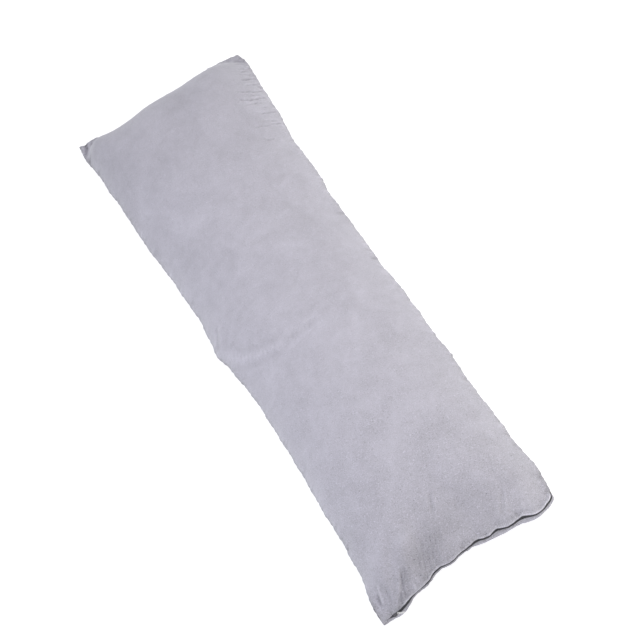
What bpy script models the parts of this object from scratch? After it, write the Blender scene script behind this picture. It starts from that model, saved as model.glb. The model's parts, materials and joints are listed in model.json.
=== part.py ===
"""A long plush body pillow with a concealed zip, lying on its back on the floor.

Metres, +Z up, the floor at z = 0.  The length runs along Y: the zipped foot end lies at
-Y and the head end at +Y.  A front and a back panel are sewn together round all four
edges and filled, so the pillow is one closed solid.  Its perimeter is a sewn valley,
which opens at the foot into a slot between two folded lips.  The zip lies in that slot.
"""

import math

import bmesh
import bpy
import numpy as np

# ---- driving dimensions -------------------------------------------------------------
LENGTH = 1.45              # from ear to ear along the longer side
WIDTH = 0.40               # the flat cover, from seam to seam
THICKNESS = 0.128          # crown of the filled pillow above the floor
SIDE_SEAM_HEIGHT = 0.052   # of the long seams, away from the corners
END_SEAM_HEIGHT = 0.042    # of the two short seams, away from the corners
SEAM_RISE = 0.20           # length over which a seam climbs from a corner
END_REACH = 0.24           # from an end seam to the full thickness
UNDERSIDE_REACH = 0.075    # from the seam to where the back panel lies on the floor

# ---- how the cloth curves between its seams -----------------------------------------
CROWN_POWER = 2.4          # higher makes a flatter crown
SHOULDER_POWER = 0.75      # lower makes a rounder shoulder at the seam
CORNER_POWER = 6.0         # higher brings the filling further into the corners
UNDERSIDE_POWER = 1.9      # higher draws the back panel in faster under the seam
RELIEF_FADE = 0.25         # share of the fullness over which swells and folds fade in

# ---- the sewn valley and the zip slot, each as opening height and depth ---------------
SEAM_VALLEY = (0.0016, 0.0018)
ZIP_SLOT = (0.0044, 0.0062)
SLOT_RUN_OUT = 0.018       # length over which the slot narrows to the sewn valley
SEAM_DROP = 0.003          # of the back panel just under a sewn valley
CORNER_LIP = (0.003, 0.0085)             # the back lip's reach and drop at the right corner
HEM_TUCK = 0.2             # share of its reach that the back lip draws in again below

# ---- the zip ------------------------------------------------------------------------
ZIP_START_X = -0.186       # near the left foot corner
ZIP_TURN = 0.0005          # past the right foot corner, where the zip ends
ZIP_RECESS = 0.0009        # of the zip's face behind the lips
CLEARANCE = 0.00035        # between the zip, its fittings and the cloth
SLIDER_X = -0.1765
SLIDER_SIZE = (0.0080, 0.0044, 0.0026)   # along the zip, across it, thick
PULL_SIZE = (0.0155, 0.0044, 0.0011)
PULL_SLANT = math.radians(20.0)          # it droops from the slider towards the floor
PULL_LIFT = 0.0008                       # it rides higher than the slider's middle
PULL_GAP = 0.0012                        # from the slider's end to the slanted tab
SLIDER_BEVEL = 0.0007
PULL_BEVEL = 0.0004

# ---- the mesh -----------------------------------------------------------------------
CELLS_ACROSS = 28
CELLS_ALONG = 90
END_CROWDING = 0.20        # share by which the cells draw together towards the seams

# Corners of the seam: how far each is drawn in from the flat cover, and its height.
# corner        side_in  end_in  height
CORNERS = {
    "foot_left": (-0.006, 0.003, 0.013),
    "foot_right": (0.0055, 0.0155, 0.028),
    "head_left": (0.009, -0.003, 0.012),
    "head_right": (0.001, 0.052, 0.030),
}

# Long seams: the place along the pillow, and how far each side is drawn in there.
# along  left_in  right_in
SIDE_SEAMS = [
    (-0.690, -0.0065, 0.0000),
    (-0.665, -0.0025, -0.0030),
    (-0.635, 0.0070, -0.0050),
    (-0.600, 0.0110, -0.0005),
    (-0.570, 0.0110, 0.0015),
    (-0.540, 0.0165, 0.0020),
    (-0.500, 0.0170, 0.0030),
    (-0.460, 0.0160, 0.0025),
    (-0.420, 0.0195, 0.0060),
    (-0.380, 0.0220, 0.0055),
    (-0.340, 0.0215, 0.0035),
    (-0.290, 0.0260, 0.0045),
    (-0.250, 0.0250, 0.0055),
    (-0.210, 0.0245, 0.0070),
    (-0.170, 0.0285, 0.0055),
    (-0.130, 0.0265, 0.0060),
    (-0.090, 0.0230, 0.0080),
    (-0.050, 0.0220, 0.0100),
    (-0.010, 0.0205, 0.0130),
    (0.030, 0.0210, 0.0115),
    (0.070, 0.0190, 0.0110),
    (0.110, 0.0210, 0.0135),
    (0.160, 0.0210, 0.0115),
    (0.210, 0.0210, 0.0150),
    (0.250, 0.0185, 0.0070),
    (0.290, 0.0185, 0.0090),
    (0.330, 0.0155, 0.0100),
    (0.370, 0.0125, 0.0095),
    (0.410, 0.0155, 0.0080),
    (0.450, 0.0140, 0.0015),
    (0.490, 0.0140, 0.0010),
    (0.530, 0.0130, 0.0000),
    (0.570, 0.0125, -0.0030),
    (0.610, 0.0115, -0.0045),
    (0.650, 0.0080, -0.0040),
    (0.680, 0.0070, -0.0020),
]

# Foot seam: the place across the pillow, how far the front lip of the zip is drawn in,
# and how far the back lip stands out beyond it and hangs down.
# across  drawn_in  lip_out  lip_drop
FOOT_SEAM = [
    (-0.182, 0.0082, 0.0028, 0.0090),
    (-0.170, 0.0050, 0.0034, 0.0090),
    (-0.157, 0.0050, 0.0030, 0.0105),
    (-0.143, 0.0075, 0.0016, 0.0085),
    (-0.130, 0.0110, 0.0008, 0.0050),
    (-0.115, 0.0120, 0.0006, 0.0030),
    (-0.100, 0.0127, 0.0006, 0.0050),
    (-0.086, 0.0145, 0.0008, 0.0056),
    (-0.070, 0.0215, 0.0008, 0.0055),
    (-0.055, 0.0223, 0.0006, 0.0040),
    (-0.039, 0.0190, 0.0006, 0.0050),
    (-0.024, 0.0188, 0.0006, 0.0036),
    (-0.008, 0.0215, 0.0006, 0.0034),
    (0.008, 0.0220, 0.0008, 0.0052),
    (0.023, 0.0243, 0.0014, 0.0090),
    (0.039, 0.0214, 0.0026, 0.0116),
    (0.054, 0.0175, 0.0020, 0.0100),
    (0.070, 0.0195, 0.0028, 0.0158),
    (0.085, 0.0148, 0.0028, 0.0130),
    (0.099, 0.0125, 0.0018, 0.0100),
    (0.113, 0.0143, 0.0026, 0.0126),
    (0.127, 0.0130, 0.0030, 0.0182),
    (0.141, 0.0060, 0.0026, 0.0120),
    (0.154, 0.0028, 0.0018, 0.0086),
    (0.167, 0.0045, 0.0018, 0.0086),
    (0.179, 0.0095, 0.0022, 0.0088),
]

# Head seam: the place across the pillow, and how far the seam is drawn in.
# across  drawn_in
HEAD_SEAM = [
    (-0.185, 0.0015),
    (-0.160, 0.0065),
    (-0.145, 0.0125),
    (-0.130, 0.0270),
    (-0.108, 0.0385),
    (-0.086, 0.0420),
    (-0.068, 0.0430),
    (-0.050, 0.0435),
    (-0.026, 0.0410),
    (0.000, 0.0415),
    (0.028, 0.0460),
    (0.054, 0.0475),
    (0.080, 0.0460),
    (0.104, 0.0460),
    (0.126, 0.0450),
    (0.150, 0.0445),
    (0.170, 0.0480),
    (0.183, 0.0500),
]

# Gathers that scallop the seams: seam, wave length, phase in turns, reach.
GATHERS = [
    ("left", 0.066, 0.10, 0.0012),
    ("left", 0.118, 0.65, 0.0014),
    ("right", 0.058, 0.35, 0.0012),
    ("right", 0.103, 0.20, 0.0012),
    ("head", 0.071, 0.80, 0.0008),
]

# The left side bulges where the fold across the middle meets it.
KINK_PLACE = 0.016
KINK_OUT = 0.0125
KINK_SPREAD = 0.030

# Swells of the filling under the front panel: wave length along, across, phase, height.
SWELLS = [
    (0.46, 0.90, 0.15, 0.0022),
    (0.23, 0.34, 0.60, 0.0013),
    (0.15, -0.26, 0.30, 0.0008),
]

# Folds in the front panel: the line that each follows in plan, its half-width and its
# height, which is negative for a trough.
FOLDS = {
    "middle_ridge": ([(-0.181, 0.026), (-0.152, -0.033), (-0.110, -0.072), (-0.067, -0.088),
                      (-0.003, -0.091)], 0.016, 0.0035),
    "middle_trough": ([(-0.178, -0.010), (-0.150, -0.072), (-0.110, -0.112), (-0.060, -0.128),
                       (0.012, -0.126)], 0.018, -0.0032),
    "foot_left_trough": ([(-0.100, -0.630), (-0.135, -0.672), (-0.163, -0.708)], 0.011, -0.0060),
    "foot_left_ridge": ([(-0.080, -0.645), (-0.108, -0.672), (-0.130, -0.706)], 0.013, 0.0045),
    "foot_middle_trough": ([(-0.055, -0.655), (-0.080, -0.680), (-0.088, -0.702)], 0.011, -0.0045),
    "foot_right_trough": ([(0.030, -0.600), (0.048, -0.650), (0.044, -0.690)], 0.015, -0.0030),
    "head_left_trough": ([(-0.182, 0.680), (-0.166, 0.696), (-0.150, 0.706)], 0.009, -0.0040),
    "head_right_trough": ([(0.196, 0.560), (0.150, 0.545), (0.110, 0.538)], 0.014, -0.0030),
}

# ---- finishes, as linear colour, roughness and metallic -------------------------------
PLUSH = ((0.497, 0.487, 0.552), 0.95, 0.0)
ZIP_DARK = ((0.055, 0.054, 0.063), 0.60, 0.0)
PULL_PALE = ((0.60, 0.59, 0.63), 0.35, 0.6)


def material(name, finish):
    """A Principled material of the given colour, roughness and metallic value."""
    colour, roughness, metallic = finish
    made = bpy.data.materials.new(name)
    made.use_nodes = True
    made.diffuse_color = (*colour, 1.0)
    shader = made.node_tree.nodes["Principled BSDF"]
    shader.inputs["Base Color"].default_value = (*colour, 1.0)
    shader.inputs["Roughness"].default_value = roughness
    shader.inputs["Metallic"].default_value = metallic
    return made


def add_object(name, vertices, faces, finish):
    """One named solid with its own material, its faces turned outwards."""
    mesh = bpy.data.meshes.new(name)
    shape = bmesh.new()
    made = [shape.verts.new(vertex) for vertex in vertices]
    for face in faces:
        shape.faces.new([made[index] for index in face])
    bmesh.ops.recalc_face_normals(shape, faces=shape.faces)
    shape.to_mesh(mesh)
    shape.free()
    mesh.materials.append(material(name, finish))
    mesh.shade_smooth()
    solid = bpy.data.objects.new(name, mesh)
    bpy.context.collection.objects.link(solid)
    return solid


# ---- curves through short tables ------------------------------------------------------
def smooth_through(places, values, at):
    """A smooth curve through the points (places, values), read at the places `at`."""
    places = np.asarray(places, float)
    values = np.asarray(values, float)
    slopes = np.gradient(values, places)
    at = np.clip(at, places[0], places[-1])
    left = np.clip(np.searchsorted(places, at) - 1, 0, len(places) - 2)
    step = places[left + 1] - places[left]
    t = (at - places[left]) / step
    start, end = values[left], values[left + 1]
    lead, trail = slopes[left] * step, slopes[left + 1] * step
    return (start * (1 + 2 * t) * (1 - t) ** 2 + lead * t * (1 - t) ** 2
            + end * t ** 2 * (3 - 2 * t) + trail * t ** 2 * (t - 1))


def table_column(rows, column, first, last, at):
    """One column of a table, with the corners' (place, value) joined on at its two ends."""
    inner = [(row[0], row[column]) for row in rows if first[0] < row[0] < last[0]]
    places, values = zip(first, *inner, last)
    return smooth_through(places, values, at)


def crowded(cells):
    """Places from 0 to 1, closer together towards both ends."""
    even = np.linspace(0.0, 1.0, cells + 1)
    return (1 - END_CROWDING) * even + END_CROWDING * (1 - np.cos(math.pi * even)) / 2


def gather(seam, place, run):
    """How far the gathers push a seam out, fading to nothing at the corners."""
    push = np.zeros_like(place)
    for name, wave, phase, reach in GATHERS:
        if name == seam:
            push += reach * np.sin(2 * math.pi * (place / wave + phase))
    return push * np.sin(math.pi * run) ** 0.5


# ---- the seam round the pillow ---------------------------------------------------------
def corner_point(name):
    """Plan place and height of a corner of the seam."""
    side_in, end_in, height = CORNERS[name]
    side = -1 if name.endswith("left") else 1
    end = -1 if name.startswith("foot") else 1
    return (side * (WIDTH / 2 - side_in), end * (LENGTH / 2 - end_in), height)


def seam_climb(length, run, start, end, middle):
    """Height of a seam that climbs from each of its corners to its middle."""
    from_start = np.sin(math.pi / 2 * np.clip(run * length / SEAM_RISE, 0, 1))
    from_end = np.sin(math.pi / 2 * np.clip((1 - run) * length / SEAM_RISE, 0, 1))
    nearer = run < 0.5
    return np.where(nearer, start + (middle - start) * from_start,
                    end + (middle - end) * from_end)


def side_seam(side, run):
    """Points of the left or right seam, from the foot to the head."""
    foot, head = corner_point("foot_" + side), corner_point("head_" + side)
    sign = -1 if side == "left" else 1
    y = foot[1] + (head[1] - foot[1]) * run
    column = 1 if side == "left" else 2
    drawn_in = table_column(SIDE_SEAMS, column, (foot[1], WIDTH / 2 - abs(foot[0])),
                            (head[1], WIDTH / 2 - abs(head[0])), y)
    out = WIDTH / 2 - drawn_in + gather(side, y, run)
    if side == "left":
        out += KINK_OUT * np.exp(-((y - KINK_PLACE) / KINK_SPREAD) ** 2)
    z = seam_climb(head[1] - foot[1], run, foot[2], head[2], SIDE_SEAM_HEIGHT)
    return np.stack([sign * out, y, z], axis=1)


def end_seam(end, run):
    """Points of the foot or head seam, from the left to the right."""
    left, right = corner_point(end + "_left"), corner_point(end + "_right")
    sign = -1 if end == "foot" else 1
    x = left[0] + (right[0] - left[0]) * run
    table = FOOT_SEAM if end == "foot" else HEAD_SEAM
    drawn_in = table_column(table, 1, (left[0], LENGTH / 2 - abs(left[1])),
                            (right[0], LENGTH / 2 - abs(right[1])), x)
    out = LENGTH / 2 - drawn_in + gather(end, x, run)
    z = seam_climb(right[0] - left[0], run, left[2], right[2], END_SEAM_HEIGHT)
    return np.stack([x, sign * out, z], axis=1)


def seam_loop():
    """The closed seam, anticlockwise from the left foot corner."""
    across, along = crowded(CELLS_ACROSS), crowded(CELLS_ALONG)
    foot, head = end_seam("foot", across), end_seam("head", across)
    left, right = side_seam("left", along), side_seam("right", along)
    return np.concatenate([foot[:-1], right[:-1], head[:0:-1], left[:0:-1]])


def outward(loop):
    """Plan directions that point out of a closed loop."""
    tangent = np.roll(loop, -1, axis=0) - np.roll(loop, 1, axis=0)
    normal = np.stack([tangent[:, 1], -tangent[:, 0], np.zeros(len(loop))], axis=1)
    return normal / np.linalg.norm(normal, axis=1)[:, None]


def zip_share(loop):
    """1 along the zip slot and 0 along the sewn valley, with a short run-out between."""
    steps = np.linalg.norm(np.diff(loop, axis=0), axis=1)
    travelled = np.concatenate([[0.0], np.cumsum(steps)])
    start = np.interp(ZIP_START_X, loop[:CELLS_ACROSS, 0], travelled[:CELLS_ACROSS])
    end = travelled[CELLS_ACROSS] + ZIP_TURN
    beyond = np.maximum(start - travelled, travelled - end)
    share = 1 - np.clip(beyond / SLOT_RUN_OUT, 0, 1)
    return share * share * (3 - 2 * share), (travelled >= start) & (travelled <= end)


def lip_columns(loop, share):
    """How far the back lip stands out and drops, all round the loop."""
    out = np.zeros(len(loop))
    drop = np.full(len(loop), SEAM_DROP)
    at_foot = slice(0, CELLS_ACROSS + 1)
    x = loop[at_foot, 0]
    out[at_foot] = table_column(FOOT_SEAM, 2, (x[0], 0.0), (x[-1], CORNER_LIP[0]), x)
    drop[at_foot] = table_column(FOOT_SEAM, 3, (x[0], SEAM_DROP), (x[-1], CORNER_LIP[1]), x)
    past_corner = slice(CELLS_ACROSS + 1, CELLS_ACROSS + 1 + CELLS_ALONG)
    out[past_corner] = out[CELLS_ACROSS] * share[past_corner]
    drop[past_corner] += (drop[CELLS_ACROSS] - SEAM_DROP) * share[past_corner]
    return out, drop


def seam_rows():
    """The rows of points round the seam, from the front lip over the slot to the back lip."""
    loop = seam_loop()
    away = outward(loop)
    share, in_zip = zip_share(loop)
    opening = (SEAM_VALLEY[0] + (ZIP_SLOT[0] - SEAM_VALLEY[0]) * share)[:, None]
    depth = (SEAM_VALLEY[1] + (ZIP_SLOT[1] - SEAM_VALLEY[1]) * share)[:, None]
    out, drop = lip_columns(loop, share)
    up = np.array([0.0, 0.0, 1.0])
    front_lip = loop + up * opening / 2
    back_lip = loop + away * out[:, None] - up * opening / 2
    rows = {
        "front_lip": front_lip,
        "slot_top": front_lip - away * depth,
        "slot_bottom": loop - away * depth - up * opening / 2,
        "back_lip": back_lip,
        "back_hem": back_lip - away * out[:, None] * HEM_TUCK - up * drop[:, None],
    }
    return rows, away, in_zip


# ---- the two panels ---------------------------------------------------------------------
def patch(loop):
    """A surface stretched between the four seams, as a grid [across, along]."""
    corners = np.cumsum([0, CELLS_ACROSS, CELLS_ALONG, CELLS_ACROSS])
    closed = np.concatenate([loop, loop[:1]])
    foot = closed[corners[0]:corners[1] + 1]
    right = closed[corners[1]:corners[2] + 1]
    head = closed[corners[2]:corners[3] + 1][::-1]
    left = closed[corners[3]:][::-1]
    u = crowded(CELLS_ACROSS)[:, None, None]
    v = crowded(CELLS_ALONG)[None, :, None]
    between_sides = (1 - u) * left[None] + u * right[None]
    between_ends = (1 - v) * foot[:, None] + v * head[:, None]
    flat = ((1 - u) * (1 - v) * foot[0] + u * (1 - v) * foot[-1]
            + (1 - u) * v * head[0] + u * v * head[-1])
    return between_sides + between_ends - flat


def nearness(side_reach, end_reach):
    """Over the grid: 1 on the seams, falling to 0 at the given reaches in from them."""
    u = crowded(CELLS_ACROSS)[:, None]
    v = crowded(CELLS_ALONG)[None, :]
    from_side = np.clip(np.minimum(u, 1 - u) * WIDTH / side_reach, 0, 1)
    from_end = np.clip(np.minimum(v, 1 - v) * LENGTH / end_reach, 0, 1)
    near = (1 - from_side) ** CORNER_POWER + (1 - from_end) ** CORNER_POWER
    return np.clip(near, 0, 1) ** (1 / CORNER_POWER)


def fullness():
    """Share of the crown's height over the grid: 0 on the seams and 1 on the crown."""
    return (1 - nearness(WIDTH / 2, END_REACH) ** CROWN_POWER) ** SHOULDER_POWER


def distance_to_line(x, y, line):
    """Distance in plan from points to a line of straight runs."""
    nearest = np.full(x.shape, np.inf)
    for (ax, ay), (bx, by) in zip(line, line[1:]):
        run = np.array([bx - ax, by - ay])
        t = ((x - ax) * run[0] + (y - ay) * run[1]) / (run @ run)
        t = np.clip(t, 0, 1)
        nearest = np.minimum(nearest, np.hypot(x - ax - t * run[0], y - ay - t * run[1]))
    return nearest


def relief(x, y):
    """Swells of the filling and folds of the cloth, as height over the smooth crown."""
    height = np.zeros_like(x)
    for along, across, phase, swell in SWELLS:
        height += swell * np.sin(2 * math.pi * (y / along + x / across + phase))
    for line, half_width, fold in FOLDS.values():
        height += fold * np.exp(-(distance_to_line(x, y, line) / half_width) ** 2)
    return height


def front_panel(front_lip):
    """The front panel, from its lip up over the crown."""
    grid = patch(front_lip)
    full = fullness()
    x, y, seam = grid[..., 0], grid[..., 1], grid[..., 2]
    fade = np.clip(full / RELIEF_FADE, 0, 1)
    grid[..., 2] = seam + (THICKNESS - seam) * full + relief(x, y) * fade
    return grid


def back_panel(back_hem):
    """The back panel, from its hem down to the floor, where it lies flat."""
    grid = patch(back_hem)
    grid[..., 2] *= nearness(UNDERSIDE_REACH, UNDERSIDE_REACH) ** UNDERSIDE_POWER
    return grid


# ---- the solids --------------------------------------------------------------------------
def loop_indices():
    """Grid places [across, along] of the loop's points, in the loop's order."""
    across, along = CELLS_ACROSS, CELLS_ALONG
    return ([(i, 0) for i in range(across)] + [(across, j) for j in range(along)]
            + [(i, along) for i in range(across, 0, -1)]
            + [(0, j) for j in range(along, 0, -1)])


def add_pillow(rows):
    """The filled pillow: two panels joined by the rows of the seam."""
    vertices, faces = [], []
    count = (CELLS_ACROSS + 1) * (CELLS_ALONG + 1)
    for grid in (front_panel(rows["front_lip"]), back_panel(rows["back_hem"])):
        base = len(vertices)
        vertices += [tuple(point) for point in grid.reshape(-1, 3)]
        for i in range(CELLS_ACROSS):
            for j in range(CELLS_ALONG):
                corner = base + i * (CELLS_ALONG + 1) + j
                faces.append((corner, corner + CELLS_ALONG + 1,
                              corner + CELLS_ALONG + 2, corner + 1))
    rim = [i * (CELLS_ALONG + 1) + j for i, j in loop_indices()]
    rings = [rim]
    for name in ("slot_top", "slot_bottom", "back_lip"):
        rings.append(list(range(len(vertices), len(vertices) + len(rim))))
        vertices += [tuple(point) for point in rows[name]]
    rings.append([index + count for index in rim])
    for upper, lower in zip(rings, rings[1:]):
        for k in range(len(rim)):
            after = (k + 1) % len(rim)
            faces.append((upper[k], upper[after], lower[after], lower[k]))
    return add_object("pillow", vertices, faces, PLUSH)


def add_zip_chain(rows, away, in_zip):
    """The closed zip in its slot.  Its face slants from lip to lip where the back lip
    stands out, and drops straight from the front lip where the back lip lies behind."""
    picked = np.flatnonzero(in_zip)
    out = away[picked]
    lip_line = rows["back_lip"][picked] - rows["front_lip"][picked]
    behind = np.minimum(0, np.sum(lip_line * out, axis=1))[:, None]
    trim = (lip_line - out * behind) / np.abs(lip_line[:, 2:]) * CLEARANCE
    up = np.array([0.0, 0.0, CLEARANCE])
    corners = [
        rows["front_lip"][picked] + trim - out * ZIP_RECESS,
        rows["back_lip"][picked] - trim - out * (ZIP_RECESS + behind),
        rows["slot_bottom"][picked] + up + out * CLEARANCE,
        rows["slot_top"][picked] - up + out * CLEARANCE,
    ]
    vertices = [tuple(corner[k]) for k in range(len(picked)) for corner in corners]
    faces = [(0, 1, 2, 3), tuple(4 * (len(picked) - 1) + n for n in (3, 2, 1, 0))]
    for k in range(len(picked) - 1):
        for n in range(4):
            a, b = 4 * k + n, 4 * k + (n + 1) % 4
            faces.append((a, a + 4, b + 4, b))
    return add_object("zip_chain", vertices, faces, ZIP_DARK)


def lip_frame(rows, x):
    """The flat stretch of the slot's mouth nearest to x: its centre, the directions
    along it, from lip to lip and outwards, and how far its corners leave its plane."""
    middles = (rows["front_lip"][:CELLS_ACROSS, 0] + rows["front_lip"][1:CELLS_ACROSS + 1, 0]) / 2
    cell = int(np.argmin(np.abs(middles - x)))
    front = rows["front_lip"][cell:cell + 2]
    back = rows["back_lip"][cell:cell + 2]
    centre = (front.sum(axis=0) + back.sum(axis=0)) / 4
    along = front[1] - front[0] + back[1] - back[0]
    along /= np.linalg.norm(along)
    down = back.sum(axis=0) - front.sum(axis=0)
    down -= along * (down @ along)
    down /= np.linalg.norm(down)
    out = np.cross(down, along)
    twist = np.abs((np.concatenate([front, back]) - centre) @ out).max()
    return centre, along, down, out, twist


def add_block(name, centre, axes, size, bevel, finish):
    """A bevelled block with its sides along the three given directions."""
    centre, axes = np.asarray(centre), np.stack(axes)
    corners = [(i, j, k) for i in (-0.5, 0.5) for j in (-0.5, 0.5) for k in (-0.5, 0.5)]
    vertices = [tuple(centre + (np.array(corner) * size) @ axes) for corner in corners]
    faces = [(0, 1, 3, 2), (4, 6, 7, 5), (0, 4, 5, 1), (2, 3, 7, 6), (0, 2, 6, 4), (1, 5, 7, 3)]
    solid = add_object(name, vertices, faces, finish)
    rounding = solid.modifiers.new("rounding", "BEVEL")
    rounding.width = bevel
    rounding.segments = 2
    rounding.limit_method = "NONE"
    return solid


def add_slider_and_pull(rows):
    """The slider on the zip's face, and its pull tab lying on the back lip."""
    centre, along, down, out, twist = lip_frame(rows, SLIDER_X)
    lift = SLIDER_SIZE[2] / 2 + CLEARANCE + twist - ZIP_RECESS
    add_block("zip_slider", centre + out * lift, (along, down, out), SLIDER_SIZE,
              SLIDER_BEVEL, PULL_PALE)
    pull_along = along * math.cos(PULL_SLANT) + down * math.sin(PULL_SLANT)
    pull_down = down * math.cos(PULL_SLANT) - along * math.sin(PULL_SLANT)
    start = centre + along * (SLIDER_SIZE[0] / 2 + PULL_GAP) + out * (lift + PULL_LIFT)
    add_block("zip_pull", start + pull_along * PULL_SIZE[0] / 2, (pull_along, pull_down, out),
              PULL_SIZE, PULL_BEVEL, PULL_PALE)


def centre_in_plan(solids):
    """Move all the solids together until their box is centred over the origin."""
    points = np.array([vertex.co for solid in solids for vertex in solid.data.vertices])
    middle = (points.min(axis=0) + points.max(axis=0)) / 2
    for solid in solids:
        solid.location = (-middle[0], -middle[1], 0.0)


def main():
    for old in list(bpy.data.objects):
        bpy.data.objects.remove(old, do_unlink=True)
    rows, away, in_zip = seam_rows()
    add_pillow(rows)
    add_zip_chain(rows, away, in_zip)
    add_slider_and_pull(rows)
    centre_in_plan(list(bpy.data.objects))


main()
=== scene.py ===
# %% [markdown]
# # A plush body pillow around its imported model
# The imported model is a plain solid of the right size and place.  This lesson dresses it:
# a sewn plush cover that is really inflated, gathers along its seams, and a concealed zip
# with its slider.  Loading comes first, because every piece is measured from the frame.
# %% Load the frame
import json
import math

import bpy
import numpy as np
from mathutils import Matrix, Vector
from mathutils.kdtree import KDTree

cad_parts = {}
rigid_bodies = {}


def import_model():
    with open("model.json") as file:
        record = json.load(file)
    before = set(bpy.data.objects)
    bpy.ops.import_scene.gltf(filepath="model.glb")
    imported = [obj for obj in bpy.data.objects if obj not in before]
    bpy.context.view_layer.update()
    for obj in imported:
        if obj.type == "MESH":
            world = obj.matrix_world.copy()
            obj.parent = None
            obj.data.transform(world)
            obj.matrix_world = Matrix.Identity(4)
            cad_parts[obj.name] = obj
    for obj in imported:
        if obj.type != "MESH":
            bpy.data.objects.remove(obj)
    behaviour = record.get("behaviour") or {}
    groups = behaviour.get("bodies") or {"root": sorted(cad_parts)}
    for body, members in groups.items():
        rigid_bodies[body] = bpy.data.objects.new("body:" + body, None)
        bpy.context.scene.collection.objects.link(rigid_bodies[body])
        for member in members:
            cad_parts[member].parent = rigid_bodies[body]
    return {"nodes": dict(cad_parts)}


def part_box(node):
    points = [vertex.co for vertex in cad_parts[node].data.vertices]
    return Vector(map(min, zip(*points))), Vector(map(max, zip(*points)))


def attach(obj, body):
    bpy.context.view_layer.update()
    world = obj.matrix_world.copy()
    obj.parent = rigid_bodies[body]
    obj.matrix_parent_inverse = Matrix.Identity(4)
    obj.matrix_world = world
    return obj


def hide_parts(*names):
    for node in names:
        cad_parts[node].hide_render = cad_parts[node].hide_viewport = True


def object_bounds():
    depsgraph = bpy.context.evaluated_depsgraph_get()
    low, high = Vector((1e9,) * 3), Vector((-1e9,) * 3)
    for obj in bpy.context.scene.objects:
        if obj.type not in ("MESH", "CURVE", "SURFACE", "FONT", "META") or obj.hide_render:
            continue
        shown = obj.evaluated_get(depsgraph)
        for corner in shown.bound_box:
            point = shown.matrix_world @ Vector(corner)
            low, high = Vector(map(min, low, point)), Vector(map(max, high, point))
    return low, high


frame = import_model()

cad_low, cad_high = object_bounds()
CROWN = cad_high.z
print("the packed pillow measures", [round(side, 4) for side in cad_high - cad_low])

# %% [markdown]
# The camera comes before any piece, so that every look at the work is comparable.  A
# product shot like this one is taken from far away with a long lens, high above the foot
# of the pillow, and the camera is rolled so that the pillow lies across the frame.  The
# lens follows from the focal length in pixels and the width of the picture.
# %% Camera
LOOK_AT = Vector((0.0242, -0.0556, 0.050))
ELEVATION = math.radians(52.12)
ROLL = math.radians(34.59)
DISTANCE = 7.528
FOCAL_PIXELS = 3757.0
PICTURE_PIXELS = 640
SENSOR_WIDTH = 36.0
CLIP_END = 50.0


def add_camera():
    """A camera that looks at LOOK_AT from the foot side, rolled about its own axis."""
    right = Vector((1.0, 0.0, 0.0))
    forward = Vector((0.0, math.cos(ELEVATION), -math.sin(ELEVATION)))
    up = Vector((0.0, math.sin(ELEVATION), math.cos(ELEVATION)))
    camera_x = right * math.cos(ROLL) - up * math.sin(ROLL)
    camera_y = right * math.sin(ROLL) + up * math.cos(ROLL)
    turn = Matrix((camera_x, camera_y, -forward)).transposed()
    bpy.ops.object.camera_add(location=LOOK_AT - forward * DISTANCE,
                              rotation=turn.to_euler())
    camera = bpy.context.object
    camera.data.sensor_width = SENSOR_WIDTH
    camera.data.lens = FOCAL_PIXELS * SENSOR_WIDTH / PICTURE_PIXELS
    camera.data.clip_end = CLIP_END
    bpy.context.scene.camera = camera
    return camera


camera = add_camera()
print("lens", round(camera.data.lens, 1), "mm, from", [round(c, 2) for c in camera.location])

# %% [markdown]
# The floor is a plain white sheet that glows a little, as a lit studio sweep does, so the
# pillow's shadow on it stays pale.  The light is that of a white studio too: an even
# surround, large soft lamps on all sides, the warmest of them at the right of the foot,
# and a near one overhead.  The near one matters most for the form: its light falls off
# towards both ends, so the middle of the long pillow reads as the fullest part.
# %% Floor and light
FLOOR_SIDE = 14.0
FLOOR_DROP = 0.0005
FLOOR_WHITE = (0.50, 0.50, 0.51)
FLOOR_GLOW = 0.78
FLOOR_ROUGHNESS = 0.9
SURROUND = (0.97, 0.97, 1.0)
SURROUND_STRENGTH = 0.43
# Lamps: place, side of the square, watts, colour.
LAMPS = {
    "key": (Vector((2.6, 0.6, 4.2)), 3.0, 22.0, (0.99, 0.98, 1.0)),
    "left": (Vector((-2.3, -0.6, 1.0)), 1.4, 14.0, (0.92, 0.99, 1.0)),
    "overhead": (Vector((0.2, -0.25, 1.7)), 0.9, 10.5, (1.0, 0.99, 1.0)),
    "right_of_foot": (Vector((2.7, -1.3, 1.4)), 2.0, 26.0, (1.0, 1.0, 0.76)),
    "head": (Vector((1.9, 3.1, 3.5)), 2.5, 6.5, (0.92, 0.98, 1.0)),
}


def principled(name):
    """A new node material: its tree, its Principled shader and the material itself."""
    made = bpy.data.materials.new(name)
    made.use_nodes = True
    return made.node_tree, made.node_tree.nodes["Principled BSDF"], made


def set_inputs(shader_node, **values):
    """Set a node's input sockets by name, with _ for a space."""
    for name, value in values.items():
        shader_node.inputs[name.replace("_", " ")].default_value = value


def add_floor():
    """A large plain sheet just under the pillow."""
    bpy.ops.mesh.primitive_plane_add(size=FLOOR_SIDE, location=(0, 0, -FLOOR_DROP))
    floor = bpy.context.object
    floor.name = "floor"
    tree, shader, white = principled("floor_white")
    set_inputs(shader, Base_Color=(*FLOOR_WHITE, 1), Roughness=FLOOR_ROUGHNESS,
               Specular_IOR_Level=0, Emission_Color=(1, 1, 1, 1), Emission_Strength=FLOOR_GLOW)
    floor.data.materials.append(white)


def add_surround():
    """A white world of even light."""
    world = bpy.data.worlds.new("studio")
    world.use_nodes = True
    set_inputs(world.node_tree.nodes["Background"],
               Color=(*SURROUND, 1), Strength=SURROUND_STRENGTH)
    bpy.context.scene.world = world
    bpy.context.scene.view_settings.view_transform = "Standard"
    bpy.context.scene.view_settings.look = "None"


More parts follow.
